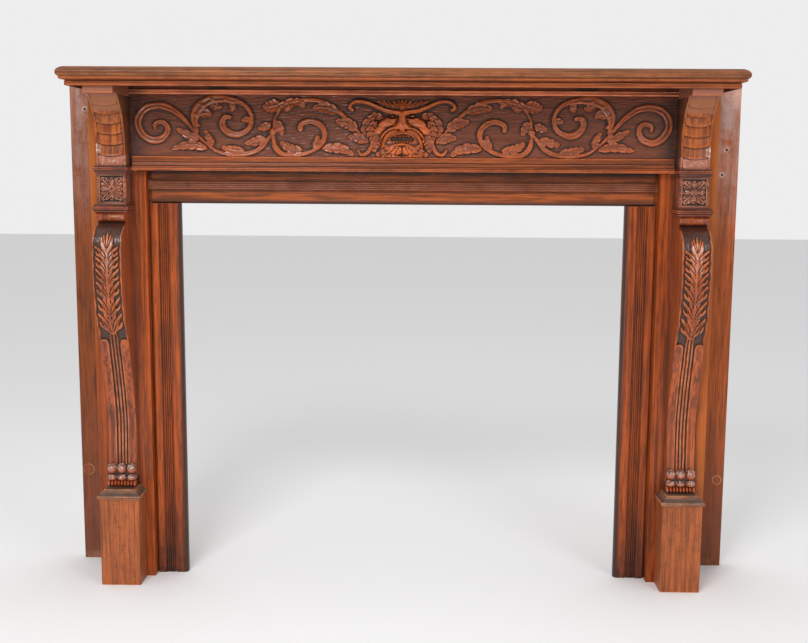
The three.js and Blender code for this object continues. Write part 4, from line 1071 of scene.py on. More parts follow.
def relief_panel(carving, surface, back_y):
    """A board whose front is the carving: surface(across, up, height) places it, and its back is flat."""
    across, up = carving.across, carving.up
    columns, rows = len(across), len(up)
    front = surface(*np.meshgrid(across, up, indexing="ij"), carving.height)
    place = np.arange(columns * rows).reshape(columns, rows)
    faces = np.stack(
        [place[:-1, :-1], place[1:, :-1], place[1:, 1:], place[:-1, 1:]], axis=-1).reshape(-1, 4).tolist()
    rim = np.concatenate([place[:, 0], place[-1, 1:], place[-2::-1, -1], place[0, -2:0:-1]])
    back = front.reshape(-1, 3)[rim].copy()
    back[:, 1] = back_y
    behind = columns * rows + np.arange(len(rim))
    for at in range(len(rim)):
        after = (at + 1) % len(rim)
        faces.append([rim[at], behind[at], behind[after], rim[after]])
    faces.append(behind.tolist())
    vertices = np.concatenate([front.reshape(-1, 3), back])
    relief = np.concatenate([carving.standing().reshape(-1), np.zeros(len(rim))])
    proud = np.concatenate([carving.height.reshape(-1) / FULL_HEIGHT, np.zeros(len(rim))])
    shell = Shell()
    shell.add(vertices, faces, relief, proud)
    return shell.mesh()


class MANTEL_OT_frieze(bpy.types.Operator):
    """Carve the frieze panel with its scrolls, leaves and mask"""

    bl_idname = "mantel.frieze"
    bl_label = "Frieze panel"

    def execute(self, context):
        sizes = context.scene.mantel_sizes
        low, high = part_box("frieze_panel")
        ground_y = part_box("pilaster_right")[0][1]
        carved_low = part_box("frieze_lower_rail")[1][2]
        carved_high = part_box("frieze_top_strip")[0][2]
        middle_z, half_tall = (carved_low + carved_high) / 2, (carved_high - carved_low) / 2
        across_unit = high[0] / DRAWN_HALF_LENGTH
        up_unit = 2 * half_tall / DRAWN_HEIGHT
        fine, coarse = 1.15, 1.85
        half = DRAWN_HALF_LENGTH
        across = spaced((-half, coarse), (-132, fine), (132, coarse), (half, coarse))
        edge_up = DRAWN_HEIGHT / 2
        up = np.concatenate([
            [(low[2] - middle_z) / up_unit], np.linspace(-edge_up, edge_up, 108), [(high[2] - middle_z) / up_unit]])
        carving = Carving(across, up)
        tall = sizes.mask / MM
        carving.dome((0, -14), (64, 50), tall * 0.5, base=tall * 0.1)
        for _, sign in SIDES:
            carve_scrolls(carving, sign, sizes.relief / MM)
        for _, sign in SIDES:
            carve_mask_half(carving, sign, tall)
        carve_mask_middle(carving, tall)
        tooling = hand_waver(carving.places * np.array((0.35, 1)), 7, 11)
        carving.height += np.where(carving.height < 0.5, 0.28 * np.clip(tooling, -1, 1) + 0.28, 0.15 * tooling)
        outside = (np.abs(up) > edge_up - 0.7)[None, :] | (np.abs(across) > half - 1)[:, None]
        carving.height = np.where(outside, 0, carving.height)

        def surface(u, v, height):
            return np.stack([u * across_unit, ground_y - height * MM, middle_z + v * up_unit], axis=-1)

        add_piece(relief_panel(carving, surface, high[1]), "frieze_carving", "frieze", "frieze_panel")
        return {"FINISHED"}


class MANTEL_OT_rails(bpy.types.Operator):
    """Make the strip over the carving and the stepped rail under it"""

    bl_idname = "mantel.rails"
    bl_label = "Frieze rails"

    def execute(self, context):
        low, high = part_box("frieze_top_strip")
        strip = rectangle(low[1], high[1], low[2], high[2])
        mesh = run_moulding(strip, "X", low[0], high[0] - low[0], 1.6 * MM, "strip")
        add_piece(mesh, "top_strip", "strip", "frieze_top_strip")
        low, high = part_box("frieze_lower_rail")
        back, nose = high[1], low[1]
        rail = back - 6.7 * MM
        proud = rail - nose
        step = (high[2] - low[2]) * 0.58
        top = low[2] + step
        section = [
            (back, high[2]), (rail, high[2]), (rail, top), (rail - proud * 0.25, top - step * 0.05),
            (rail - proud * 0.25, top - step * 0.2), (rail - proud * 0.42, top - step * 0.41),
            (nose + proud * 0.25, top - step * 0.49), (nose + proud * 0.25, top - step * 0.57),
            (nose, top - step * 0.67), (nose, low[2]), (back, low[2])]
        mesh = run_moulding(section, "X", low[0], high[0] - low[0], 1.3 * MM, "rail")
        add_piece(mesh, "lower_rail", "rail", "frieze_lower_rail")
        return {"FINISHED"}


def frame_section(visible, thick, lap, end_gap):
    """The opening frame's section as (out from the opening, sink behind its face), its body on the left."""
    radius = 10 * MM
    band = radius + visible * 0.26
    quirk = band + 3 * MM
    reeds_end = quirk + visible * 0.26
    corners = [(0, thick), (0, radius + 2 * MM)]
    for turn in (0.35, 0.7, 1.05, 1.4):
        corners.append((radius * (1 - math.cos(turn)), 2 * MM + radius * (1 - math.sin(turn))))
    corners += [(band, 2 * MM), (band, 8 * MM), (quirk, 8 * MM)]
    reed = (reeds_end - quirk) / 4
    for place in range(4):
        start = quirk + place * reed
        for turn in (0.5, 1.1, math.pi - 1.1, math.pi - 0.5):
            corners.append((start + reed / 2 * (1 - math.cos(turn)), 5.4 * MM - 2.8 * MM * math.sin(turn)))
        corners.append((start + reed, 5.6 * MM))
    corners += [
        (visible * 0.71, 0), (visible - end_gap, 0), (visible - end_gap, 7 * MM),
        (visible + lap, 7 * MM), (visible + lap, thick)]
    return corners


class MANTEL_OT_frame(bpy.types.Operator):
    """Make the reeded frame round the fire opening"""

    bl_idname = "mantel.opening_frame"
    bl_label = "Opening frame"

    def execute(self, context):
        low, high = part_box("jamb_right")
        thick, lap = high[1] - low[1], 30 * MM
        visible = high[0] - low[0] - lap
        section = [(low[0] + out, low[1] + sink) for out, sink in frame_section(visible, thick, lap, 3 * MM)]
        for side, sign in SIDES:
            mesh = run_moulding(section[::-1], "Z", low[2], high[2] - low[2], 0.9 * MM, "jamb", dirt=0.7)
            if sign < 0:
                mesh.transform(Matrix.Scale(-1, 4, (1, 0, 0)))
            face_outwards(mesh)
            add_piece(mesh, f"reeded_jamb_{side}", "jamb", f"jamb_{side}")
        low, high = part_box("lintel")
        lap = 15 * MM
        visible = high[2] - low[2] - lap
        section = [(low[1] + sink, low[2] + out) for out, sink in frame_section(visible, thick, lap, 0)]
        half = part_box("pilaster_right")[0][0] - 8 * MM
        mesh = run_moulding(section, "X", -half, 2 * half, 0.9 * MM, "lintel", dirt=0.7)
        shell = Shell()
        for sign in (-1, 1):
            ends = sorted((sign * (half + 0.1 * MM), sign * high[0]))
            block(shell, (ends[0], low[1] + 9 * MM, low[2]), (ends[1], high[1], high[2]),
                  context.scene.mantel_sizes.edge)
        add_piece(with_shell(mesh, shell), "reeded_lintel", "lintel", "lintel")
        return {"FINISHED"}


# The bed moulding's section down its face: how far in from the front in millimetres, and share of the height
BED_SECTION = (
    (1.5, 1), (0, 0.94), (0, 0.78), (3, 0.68), (8, 0.62), (12, 0.6), (12, 0.54), (10.5, 0.5), (10.5, 0))


class MANTEL_OT_shelf(bpy.types.Operator):
    """Make the shelf with its nosing and the bed moulding under it"""

    bl_idname = "mantel.shelf"
    bl_label = "Shelf and bed moulding"

    def execute(self, context):
        low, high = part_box("shelf")
        bottom, top = low[2], high[2]
        tall = top - bottom
        round_in = 13 * MM
        levels = [
            (4 * MM, bottom), (0, bottom + 4 * MM), (0, bottom + tall * 0.5), (round_in * 0.23, top - tall * 0.27),
            (round_in * 0.54, top - tall * 0.14), (round_in, top)]
        add_piece(mitred("shelf", levels, 1.2 * MM, chip=1.2 * MM), "shelf_board", "shelf", "shelf")
        low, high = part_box("shelf_moulding_front")
        front, back = low[1], high[1]
        tall = high[2] - low[2]
        section = [(back, high[2])] + [
            (front + sink * MM, low[2] + tall * share) for sink, share in BED_SECTION] + [(back, low[2])]
        mesh = run_moulding(section, "X", low[0], high[0] - low[0], 1.2 * MM, "rail")
        end = high[0] - 1 * MM

        def front_mitre(x, y, z):
            return (math.copysign(high[0] - (y - front), x) if abs(x) > end else x, y, z)

        add_piece(sheared(mesh, front_mitre), "bed_moulding_front", "rail", "shelf_moulding_front")
        low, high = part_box("shelf_moulding_right")
        section = [(low[0], tall)] + [
            (high[0] - sink * MM, tall * share) for sink, share in BED_SECTION] + [(low[0], 0)]
        flat = [(-x, z) for x, z in section][::-1]
        for side, sign in SIDES:
            mesh = run_moulding(flat, "Z", 0, high[1] - low[1], 1.2 * MM, "rail")

            def along_depth(x, y, z, sign=sign):
                """The run lies along the depth, and its front end is cut to the mitre."""
                start = high[0] + x + GAP if z < 1 * MM else z
                return (-sign * x, low[1] + start, low[2] + y)

            sheared(mesh, along_depth)
            face_outwards(mesh)
            add_piece(mesh, f"bed_moulding_{side}", "rail", f"shelf_moulding_{side}")
        return {"FINISHED"}


class MANTEL_OT_boards(bpy.types.Operator):
    """Make the pilasters, their returns and the boards at the wall"""

    bl_idname = "mantel.boards"
    bl_label = "Upright boards"

    def execute(self, context):
        edge = context.scene.mantel_sizes.edge
        low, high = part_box("pilaster_right")
        step_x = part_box("corbel_right")[0][0]
        step_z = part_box("frieze_lower_rail")[0][2] - GAP
        corners = [
            (low[0], low[2]), (high[0], low[2]), (high[0], high[2]), (step_x, high[2]), (step_x, step_z),
            (low[0], step_z)]
        for side, sign in SIDES:
            shell = Shell()
            board(shell, corners, low[1], high[1], edge, chip=1.4 * MM, seed=10 + sign)
            add_piece(shell.mesh(mirror=sign < 0), f"pilaster_board_{side}", "upright", f"pilaster_{side}")
        for name, kind, chip in (("pilaster_return", "hidden", 0.8), ("back_board", "back", 4.0)):
            low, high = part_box(f"{name}_right")
            for side, sign in SIDES:
                shell = Shell()
                board(shell, rectangle(low[0], high[0], low[2], high[2]), low[1], high[1], edge,
                      chip=chip * MM, seed=20 + sign)
                add_piece(shell.mesh(mirror=sign < 0), f"{name}_oak_{side}", kind, f"{name}_{side}")
        return {"FINISHED"}


class MANTEL_OT_plinths(bpy.types.Operator):
    """Make the plinths and their caps"""

    bl_idname = "mantel.plinths"
    bl_label = "Plinths"

    def execute(self, context):
        for side, _ in SIDES:
            low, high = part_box(f"plinth_{side}")
            shell = Shell()
            block(shell, low, high, 1.3 * MM, chip=1.5 * MM, seed=31 if side == "left" else 32)
            add_piece(shell.mesh(), f"plinth_block_{side}", "plinth", f"plinth_{side}")
            low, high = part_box(f"plinth_cap_{side}")
            table = (high[0] - low[0]) / 2 - 37 * MM
            levels = [(1.5 * MM, low[2]), (0, low[2] + 1.5 * MM), (0, low[2] + 6.5 * MM), (table, high[2])]
            mesh = mitred(f"plinth_cap_{side}", levels, 1.1 * MM, chip=1 * MM)
            add_piece(mesh, f"plinth_cap_oak_{side}", "plinth_cap", f"plinth_cap_{side}")
        return {"FINISHED"}


# The leg, drawn in millimetres across its face and in shares of its height

LEG_FACE = [
    (0, 22), (0.1, 19.5), (0.165, 17.5), (0.25, 16), (0.32, 23.5), (0.4, 35), (0.485, 52), (0.565, 68.5),
    (0.625, 88), (0.71, 101), (0.785, 106), (0.85, 106), (0.895, 103), (0.925, 95), (0.95, 78), (0.965, 58),
    (0.975, 53),
]
BAND_END = 0.555
LEAF_END = 0.935
CHANNEL_HALF = 14
REED_SPACING = 7.5
LEG_RIM = 4.5
PAW_HEIGHT = 59

# The leg's pairs of leaves from the lowest up: height of the tips as a share of the leg's, and length
LEG_LEAVES = ((0.653, 54), (0.714, 50), (0.768, 46), (0.813, 41), (0.854, 37), (0.89, 33))


def leg_stand_off(share):
    """How far the leg's face stands out from the pilaster, in millimetres."""
    places, _, _ = smooth_line([(s * 100, out) for s, out in LEG_FACE], spacing=0.2)
    return np.interp(share * 100, places[:, 0], places[:, 1])


def carve_leg(carving, tall, sink):
    """The leg's bands, reeds and whorls of leaves, over its sunk ground."""
    across, up = np.meshgrid(carving.across, carving.up, indexing="ij")
    half = carving.across.max()
    share = up / tall
    rim_inner = half - LEG_RIM + 0.8 * np.sin(up / 5.2)
    rim = np.clip((np.abs(across) - rim_inner) / 1.2, 0, 1)
    middle = (half + CHANNEL_HALF) / 2
    arch = 9 * (1 - np.sqrt(np.clip(1 - ((np.abs(across) - middle) / (half - CHANNEL_HALF) * 2) ** 2, 0, 1)))
    banded = (up < BAND_END * tall - arch) & (np.abs(across) > CHANNEL_HALF)
    carving.height = np.maximum(sink * rim, np.where(banded, sink, 0))
    for place in (-1, 0, 1):
        top = BAND_END * tall + (70 if place else 190)
        carving.stem([(place * REED_SPACING, 0), (place * REED_SPACING, BAND_END * tall - 12), (place * 2.2, top)],
                     [2.7, 2.7, 2.4, 1.2], sink * 0.8)
    reach = rim_inner.min() - 1
    for whorl, (tip_share, length) in enumerate(LEG_LEAVES):
        tip = tip_share * tall
        foot = tip - length
        broad = (1.35, 1.0, 1.2, 0.95, 1.1, 1.0)[whorl]
        for sign in (-1, 1):
            for points, half_width, rise in (
                    (((0.06, 0.1), (0.46, 0.3), (0.78, 0.42), (0.94, 0.62)), 2.8 * broad, 1.05),
                    (((0.06, 0.0), (0.4, 0.5), (0.74, 0.78), (1.0, 1.0)), 3.8 * broad, 1.2),
                    (((0.04, 0.2), (0.26, 0.62), (0.36, 0.9), (0.56, 1.14)), 3.2 * broad, 1.3)):
                line = [(sign * reach * out, foot + length * along) for out, along in points]
                carving.leaf(line, half_width, sink * rise, 1, veins=0.0, cut=0.0)
            for points in (((0.12, 0.16), (0.42, 0.42), (0.85, 0.78)), ((0.1, 0.3), (0.3, 0.62), (0.72, 1.0)),
                           ((0.03, 0.45), (0.1, 0.75), (0.2, 1.1))):
                carving.groove([(sign * reach * out, foot + length * along) for out, along in points], 0.8,
                               sink * 0.6)
        carving.leaf([(0, foot + length * 0.35), (0, tip + length * 0.22)], 2.6, sink * 1.4, 1, veins=0.0, cut=0.0)
    fan = LEG_LEAVES[-1][0] * tall - 12
    for angle in (-50, -26, 0, 26, 50):
        turn = math.radians(angle)
        length = LEAF_END * tall - fan - abs(angle) * 0.16
        carving.leaf([(math.sin(turn) * 1.5, fan), (math.sin(turn) * length * 0.36, fan + length * 0.45),
                      (math.sin(turn) * length * 0.5, fan + length)], 2.9, sink * 1.35, 1, veins=0.0, cut=0.0)
    for angle in (-38, -13, 13, 38):
        turn = math.sin(math.radians(angle))
        carving.groove([(turn * 4, fan + 8), (turn * 12, fan + 22), (turn * 18, fan + 36)], 0.8, sink * 0.6)
    carving.height += 0.12 * hand_waver(carving.places, 9, 17)
    carving.height *= np.where(share > LEAF_END + 0.02, 0.25, 1.0)


def leg_shell(low, high, sizes, seed):
    """The leg of one side: shaft and roll."""
    centre, back = (low[0] + high[0]) / 2, high[1]
    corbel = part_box("corbel_right")
    half = (corbel[1][0] - corbel[0][0]) / 2 / MM
    tall = (high[2] - low[2]) / MM
    across = np.linspace(-half, half, 69)
    up = spaced((PAW_HEIGHT * 0.4, 2.5), (BAND_END * tall - 20, 1.25), (tall, 1.25))
    carving = Carving(across, up, stray=0.35, seed=seed)
    sink = sizes.leaf_sink / MM
    carve_leg(carving, tall, sink)
    face = leg_stand_off(up / tall)
    side = np.clip((half - np.abs(across)) / 1.0, 0, 1)
    rounding = 0.9 * (1 - np.sqrt(1 - (1 - side) ** 2))
    out = face[None, :] - sink + np.minimum(carving.height, sink + 2.2) - rounding[:, None]
    rings, relief, proud = [], [], []
    on_rim = (np.abs(across) > half - LEG_RIM - 1)[:, None] & (up > BAND_END * tall)[None, :]
    standing = carving.standing(scale=1.3) * np.where(on_rim, 0.45, 1) + (1 - side)[:, None] * 0.3
    shown = carving.height / 2.6
    for row, height in enumerate(up):
        z = low[2] + height * MM
        front = [(centre + u * MM, back - d * MM, z) for u, d in zip(across, out[:, row])]
        cheek = front[0][1] + 1.5 * MM
        rings.append([(centre - half * MM, back, z), (centre - half * MM, cheek, z), *front,
                      (centre + half * MM, cheek, z), (centre + half * MM, back, z)])
        relief.append([0.0, 0.0, *standing[:, row], 0.0, 0.0])
        proud.append([1.0, 1.0, *shown[:, row], 1.0, 1.0])
    shell = Shell()
    shell.rings(rings, np.array(relief), np.array(proud))
    leg_roll(shell, centre, half * MM, back, high[2])
    return shell


def leg_roll(shell, centre, half, back, top):
    """The plain roll that closes the leg, a round bar under a hollow, set into the shaft's head."""
    radius = 8.5 * MM
    reach = back - 67 * MM + radius
    points = [(reach + radius * math.cos(t), top - radius + radius * math.sin(t))
              for t in np.linspace(math.pi / 2, 3 * math.pi / 2, 12)]
    section = [(back, top - 2 * radius), (back, top), *points]
    rings = []
    for place in (-1.0, -0.97, 0.97, 1.0):
        tight = 0.6 * MM if abs(place) == 1.0 else 0.0
        x = centre + (half + 0.4 * MM) * place
        rings.append([(x, y + (tight if y < back else 0), z) for y, z in section])
    shell.rings(rings, 0.15)


def paw_shell(low, high):
    """Knuckles in two rows over a row of ribbed claws."""
    centre, back, foot = (low[0] + high[0]) / 2, high[1], low[2]
    half = 35 * MM
    core = 26.5 * MM
    shell = Shell()
    wide = half - 3 * MM
    # The core between the knuckles takes a recess's relief, which paints it dark as shade
    shell.rings([[(centre - wide, back - core, z), (centre + wide, back - core, z), (centre + wide, back, z),
                  (centre - wide, back, z)] for z in (foot, foot + 46 * MM)], -0.9)
    toe = half * 2 / 3
    for place in (-1, 0, 1):
        for middle, reach in ((45, 13.2), (22.5, 9)):
            shell.ball((centre + place * toe, back - core, foot + middle * MM), (toe * 0.53, 15 * MM, reach * MM),
                       relief=0.3)
    claws = 9
    spacing = 2 * half / claws
    for claw in range(claws):
        x = centre - half + (claw + 0.5) * spacing
        shell.ball((x, back - core - 1 * MM, foot + 8 * MM), (spacing * 0.45, 13.5 * MM, 8 * MM), 12, 8, relief=0.2)
    return shell


class MANTEL_OT_legs(bpy.types.Operator):
    """Carve the legs with their leaves, rolls and paws"""

    bl_idname = "mantel.legs"
    bl_label = "Legs and paws"

    def execute(self, context):
        sizes = context.scene.mantel_sizes
        for side, sign in SIDES:
            low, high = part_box(f"leg_{side}")
            shell = leg_shell(low, high, sizes, 40 + sign)
            add_piece(shell.mesh(), f"leg_carving_{side}", "leg", f"leg_{side}")
            add_piece(paw_shell(low, high).mesh(), f"paw_{side}", "paw")
        return {"FINISHED"}


# The caps' sections from the foot up: how far they stand out, then insets and heights as shares
CAP_SECTIONS = {
    "lower_cap": (8 * MM, ((0.8, 0), (0.4, 0.18), (0.4, 0.36), (0, 0.44), (0, 0.69), (0.35, 0.8), (0.8, 1))),
    "upper_cap": (5.5 * MM, ((1, 0), (0.6, 0.15), (0.2, 0.4), (0, 0.45), (0, 0.7), (0.5, 0.8), (0.5, 1))),
}


class MANTEL_OT_caps(bpy.types.Operator):
    """Make the moulded caps over and under the rosette blocks"""

    bl_idname = "mantel.caps"
    bl_label = "Column caps"

    def execute(self, context):
        for side, _ in SIDES:
            for name, (over, section) in CAP_SECTIONS.items():
                low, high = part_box(f"{name}_{side}")
                levels = [(over * inset, low[2] + (high[2] - low[2]) * share) for inset, share in section]
                add_piece(mitred(f"{name}_{side}", levels, 0.9 * MM), f"{name}_oak_{side}", "dark", f"{name}_{side}")
        return {"FINISHED"}


class MANTEL_OT_rosettes(bpy.types.Operator):
    """Carve the rosette blocks"""

    bl_idname = "mantel.rosettes"
    bl_label = "Rosette blocks"

    def execute(self, context):
        for side, sign in SIDES:
            low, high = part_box(f"rosette_block_{side}")
            half, tall = (high[0] - low[0]) / 2 / MM, (high[2] - low[2]) / 2 / MM
            margin, sink = 7.5, 5.0
            carving = Carving(np.linspace(-half, half, 86), np.linspace(-tall, tall, 86), 0.3, 60 + sign)
            field = (half - margin, tall - margin * 0.65)
            across, up = np.meshgrid(carving.across, carving.up, indexing="ij")
            rim = np.maximum(np.abs(across) - field[0], np.abs(up) - field[1])
            for turn in (0, 2, 4, 6, 1, 3, 5, 7):
                angle = turn * math.pi / 4
                diagonal = turn % 2 == 1
                reach = min(field) * (1.36 if diagonal else 1.02)
                line = [(math.cos(angle) * reach * s, math.sin(angle) * reach * s) for s in (0.04, 0.55, 1)]
                carving.leaf(line, 11.5 if diagonal else 7, sink * (1.1 if diagonal else 0.85), 3, veins=0.5,
                             cut=0.25)
                for lean in (-0.38, -0.13, 0.13, 0.38):
                    if diagonal:
                        vein = [(math.cos(angle + lean) * reach * s, math.sin(angle + lean) * reach * s)
                                for s in (0.25, 0.5, 0.85)]
                        carving.groove(vein, 0.7, sink * 0.5)
            carving.dome((0, 0), (4.6, 4.6), sink * 1.35, base=sink * 0.5)
            carving.hollow((0, 0), (1.8, 1.8), sink * 0.6)
            border = np.clip(rim / 1.2, 0, 1) * sink
            border -= 0.8 * np.exp(-((rim - 3.6) / 0.8) ** 2)
            carving.height = np.maximum(carving.height, np.where(rim > 0, border, 0))
            centre, middle = (low[0] + high[0]) / 2, (low[2] + high[2]) / 2

            def surface(u, v, height, centre=centre, middle=middle, face=low[1]):
                return np.stack([centre + u * MM, face + (sink - height) * MM, middle + v * MM], axis=-1)

            mesh = relief_panel(carving, surface, high[1])
            add_piece(mesh, f"rosette_{side}", "rosette", f"rosette_block_{side}")
        return {"FINISHED"}


# The corbel: a hollow face covered in scales, between raised rims, under a plain block

CORBEL_FOOT, CORBEL_HEAD, CORBEL_HOLLOW = 46 * MM, 107 * MM, 3.4
CORBEL_BLOCK = 34.5 * MM
CORBEL_RIM, CORBEL_SINK = 5 * MM, 4 * MM
SCALE_RISE, SCALE_BOW = 4.5 * MM, 6 * MM


def corbel_stand_off(share):
    """How far the hollow face stands out from the pilaster."""
    return CORBEL_FOOT + (CORBEL_HEAD - CORBEL_FOOT) * share ** CORBEL_HOLLOW


# One scale from its bowed foot up: share of its length, thickness and relief. The relief lays painted shade under
# the foot and where the top slips under the next scale, and a painted highlight on the lip.
SCALE_ROWS = (
    (0.0, 0.3, -1.0), (0.02, 0.75, -0.8), (0.06, 1.0, 0.25), (0.14, 1.05, 0.45), (0.3, 0.9, 0.15), (0.5, 0.65, 0.1),
    (0.64, 0.46, 0.0), (0.73, 0.38, -0.3), (0.79, 0.32, -0.9), (1.0, 0.2, -1.0))


def scale_mesh(half, length):
    """One scale, lying up Z with its thick bowed edge at the bottom."""
    columns = 21
    shell = Shell()
    rings, relief = [], []
    for share, thick, value in SCALE_ROWS:
        ring_top, ring_low = [], []
        for column in range(columns):
            place = 2 * column / (columns - 1) - 1
            drop = -SCALE_BOW * (1 - abs(place) ** 2.6) * (1 - share)
            crown = 1.5 * MM * (1 - place ** 2) * (1 - share)
            x, z = half * place, length * share + drop
            ring_top.append((x, -(SCALE_RISE * thick + crown), z))
            ring_low.append((x, 2.5 * MM, z))
        rings.append(ring_top + ring_low[::-1])
        # The underside takes a recess's relief: painted shade
        relief.append([value] * columns + [-1.0] * columns)
    shell.rings(rings, np.array(relief))
    return shell.mesh()


class MANTEL_OT_corbels(bpy.types.Operator):
    """Make the corbels and cover their hollow faces with scales"""

    bl_idname = "mantel.corbels"
    bl_label = "Corbels"

    def execute(self, context):
        count = context.scene.mantel_sizes.scales
        for side, sign in SIDES:
            low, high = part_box(f"corbel_{side}")
            centre, half, back = (low[0] + high[0]) / 2, (high[0] - low[0]) / 2, high[1]
            block_z = high[2] + GAP - CORBEL_BLOCK
            rise = block_z - low[2]
            shell = Shell()
            inner = half - CORBEL_RIM
            columns = [-half, -half + 0.6 * MM, -inner - 0.6 * MM, -inner, inner, inner + 0.6 * MM,
                       half - 0.6 * MM, half]
            lift = [-0.6 * MM, 0, 0, -CORBEL_SINK, -CORBEL_SINK, 0, 0, -0.6 * MM]
            value = [-0.3, 0.35, 0.0, -1, -1, 0.0, 0.35, -0.3]
            # The cheek beside the frieze takes a low relief: painted shade in the corner between corbel and frieze
            cheek_shade = (-0.8, -0.2)[::sign]
            rings, relief = [], []
            for share in np.linspace(0, 1, 48):
                z = low[2] + share * rise
                face = back - corbel_stand_off(share)
                rings.append([(centre - half, back, z)] + [
                    (centre + u, face - d, z) for u, d in zip(columns, lift)] + [(centre + half, back, z)])
                sunk = [0.0 if share > 0.93 and one == -1 else one for one in value]
                relief.append([cheek_shade[0], *sunk, cheek_shade[1]])
            shell.rings(rings, np.array(relief))
            block(shell, (low[0], low[1], block_z - 0.4 * MM), (high[0], back, high[2]), 1.2 * MM, chip=1 * MM,
                  seed=70 + sign)
            shares = np.linspace(0.001, 1, 60)
            run = [(centre, back - corbel_stand_off(s) + CORBEL_SINK, low[2] + s * rise) for s in shares]
            lengths = np.concatenate([[0], np.cumsum([math.dist(a, b) for a, b in zip(run, run[1:])])])
            keep = [point for point, at in zip(run, lengths) if at <= lengths[-1] * (count - 1) / count + 1e-6]
            tile = bpy.data.objects.new("scale_piece", scale_mesh(inner - 0.2 * MM, lengths[-1] / count * 1.22))
            bpy.context.scene.collection.objects.link(tile)
            scales = grown(
                "Scales up a hollow", {"Count": "Int", "Scale piece": "Object"}, scales_up_line, line_mesh(keep),
                {"Count": count, "Scale piece": tile, "Finish": finish("corbel")})
            bpy.data.objects.remove(tile)
            add_piece(with_shell(scales, shell), f"corbel_carving_{side}", "corbel", f"corbel_{side}")
        return {"FINISHED"}


# The stage: how far the floor reaches, and the lights' places, sizes in metres and power in watts
FLOOR_REACH = 14.0
LIT_POINT = Vector((0, 0, 0.75))
LIGHTS = (
    ("key", (-0.9, -2.6, 3.0), 1.2, 66.0),
    ("fill", (2.0, -2.6, 2.2), 1.2, 22.0),
    ("glint", (-0.4, -2.4, 0.3), 0.5, 8.0),
)


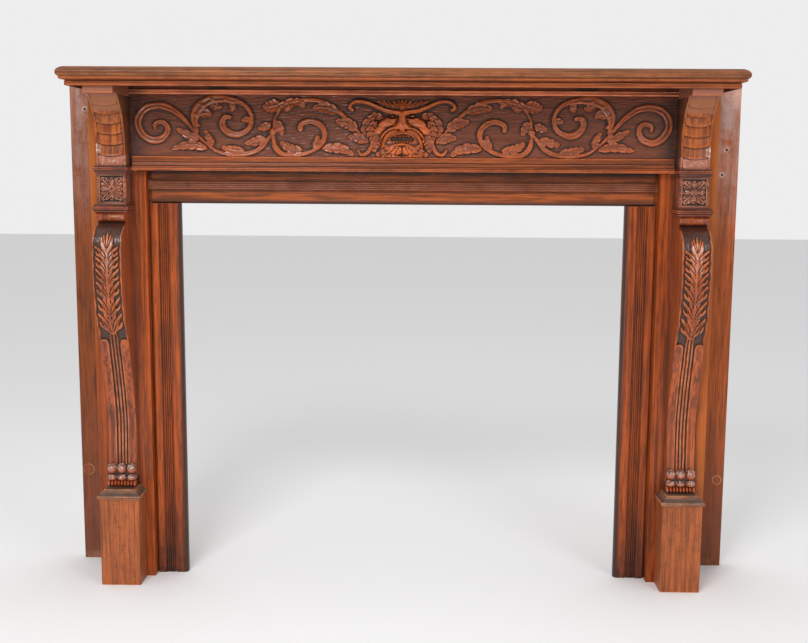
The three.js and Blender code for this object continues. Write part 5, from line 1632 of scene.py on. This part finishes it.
class MANTEL_OT_stage(bpy.types.Operator):
    """Set the pale floor, the soft lights and the camera"""

    bl_idname = "mantel.stage"
    bl_label = "Stage"

    def execute(self, context):
        scene = context.scene
        pale = bpy.data.materials.new("pale_floor")
        pale.use_nodes = True
        shader = pale.node_tree.nodes["Principled BSDF"]
        shader.inputs["Base Color"].default_value = (0.86, 0.86, 0.86, 1)
        shader.inputs["Roughness"].default_value = 0.9
        corners = rectangle(-FLOOR_REACH, FLOOR_REACH, -FLOOR_REACH, FLOOR_REACH)
        mesh = bpy.data.meshes.new("floor")
        mesh.from_pydata([(x, y, 0) for x, y in corners], [], [(0, 1, 2, 3)])
        mesh.materials.append(pale)
        floor = bpy.data.objects.new("floor", mesh)
        scene.collection.objects.link(floor)
        world = bpy.data.worlds.new("studio")
        scene.world = world
        world.use_nodes = True
        background = world.node_tree.nodes["Background"]
        background.inputs["Color"].default_value = (1, 1, 1, 1)
        around = Shades(world.node_tree, added(world.node_tree, "ShaderNodeTexCoord", {}, "Generated"))
        world.node_tree.links.new(
            around.ranged(around.place["Y"], -0.9, 0.0, 0.27, 0.85), background.inputs["Strength"])
        for name, place, size, power in LIGHTS:
            light = bpy.data.lights.new(name, "AREA")
            light.size, light.energy = size, power
            lamp = bpy.data.objects.new(name, light)
            lamp.location = place
            aim = LIT_POINT - Vector(place)
            lamp.rotation_euler = aim.to_track_quat("-Z", "Y").to_euler()
            scene.collection.objects.link(lamp)
        scene.view_settings.view_transform = "Standard"
        self.add_camera(scene)
        return {"FINISHED"}

    def add_camera(self, scene):
        """The camera at the photograph's place, looking at its angle."""
        ahead = Vector((
            -math.sin(CAMERA_YAW) * math.cos(CAMERA_PITCH), math.cos(CAMERA_YAW) * math.cos(CAMERA_PITCH),
            -math.sin(CAMERA_PITCH)))
        level = Vector((math.cos(CAMERA_YAW), math.sin(CAMERA_YAW), 0))
        above = level.cross(ahead)
        right = math.cos(CAMERA_ROLL) * level + math.sin(CAMERA_ROLL) * above
        up = -math.sin(CAMERA_ROLL) * level + math.cos(CAMERA_ROLL) * above
        turn = Matrix((right, up, -ahead)).transposed()
        lens = bpy.data.cameras.new("camera")
        lens.sensor_width = SENSOR_WIDTH
        lens.lens = FOCAL_PIXELS * SENSOR_WIDTH / FRAME_WIDTH
        camera = bpy.data.objects.new("camera", lens)
        camera.matrix_world = Matrix.LocRotScale(CAMERA_PLACE, turn, None)
        scene.collection.objects.link(camera)
        scene.camera = camera


PIECE_OPERATORS = (
    MANTEL_OT_shelf, MANTEL_OT_frieze, MANTEL_OT_rails, MANTEL_OT_frame, MANTEL_OT_boards, MANTEL_OT_plinths,
    MANTEL_OT_legs, MANTEL_OT_caps, MANTEL_OT_rosettes, MANTEL_OT_corbels, MANTEL_OT_stage)


class MANTEL_PT_pieces(bpy.types.Panel):
    """The mantel's sizes, colours and pieces"""

    bl_label = "Carved oak mantel"
    bl_idname = "MANTEL_PT_pieces"
    bl_space_type = "VIEW_3D"
    bl_region_type = "UI"
    bl_category = "Mantel"

    def draw(self, context):
        layout = self.layout
        for group in (context.scene.mantel_sizes, context.scene.mantel_colours):
            column = layout.column(align=True)
            for name in group.__annotations__:
                column.prop(group, name)
        for operator in PIECE_OPERATORS:
            layout.operator(operator.bl_idname)


CLASSES = (MantelSizes, MantelColours, *PIECE_OPERATORS, MANTEL_PT_pieces)


def register():
    """Adds the classes and the scene's settings."""
    for one in CLASSES:
        bpy.utils.register_class(one)
    bpy.types.Scene.mantel_sizes = bpy.props.PointerProperty(type=MantelSizes)
    bpy.types.Scene.mantel_colours = bpy.props.PointerProperty(type=MantelColours)


def unregister():
    """Takes the settings and classes away again."""
    del bpy.types.Scene.mantel_colours
    del bpy.types.Scene.mantel_sizes
    for one in reversed(CLASSES):
        bpy.utils.unregister_class(one)


def main():
    """Makes every piece and the stage."""
    register()
    for operator in PIECE_OPERATORS:
        group, name = operator.bl_idname.split(".")
        getattr(getattr(bpy.ops, group), name)()


if __name__ == "__main__":
    main()
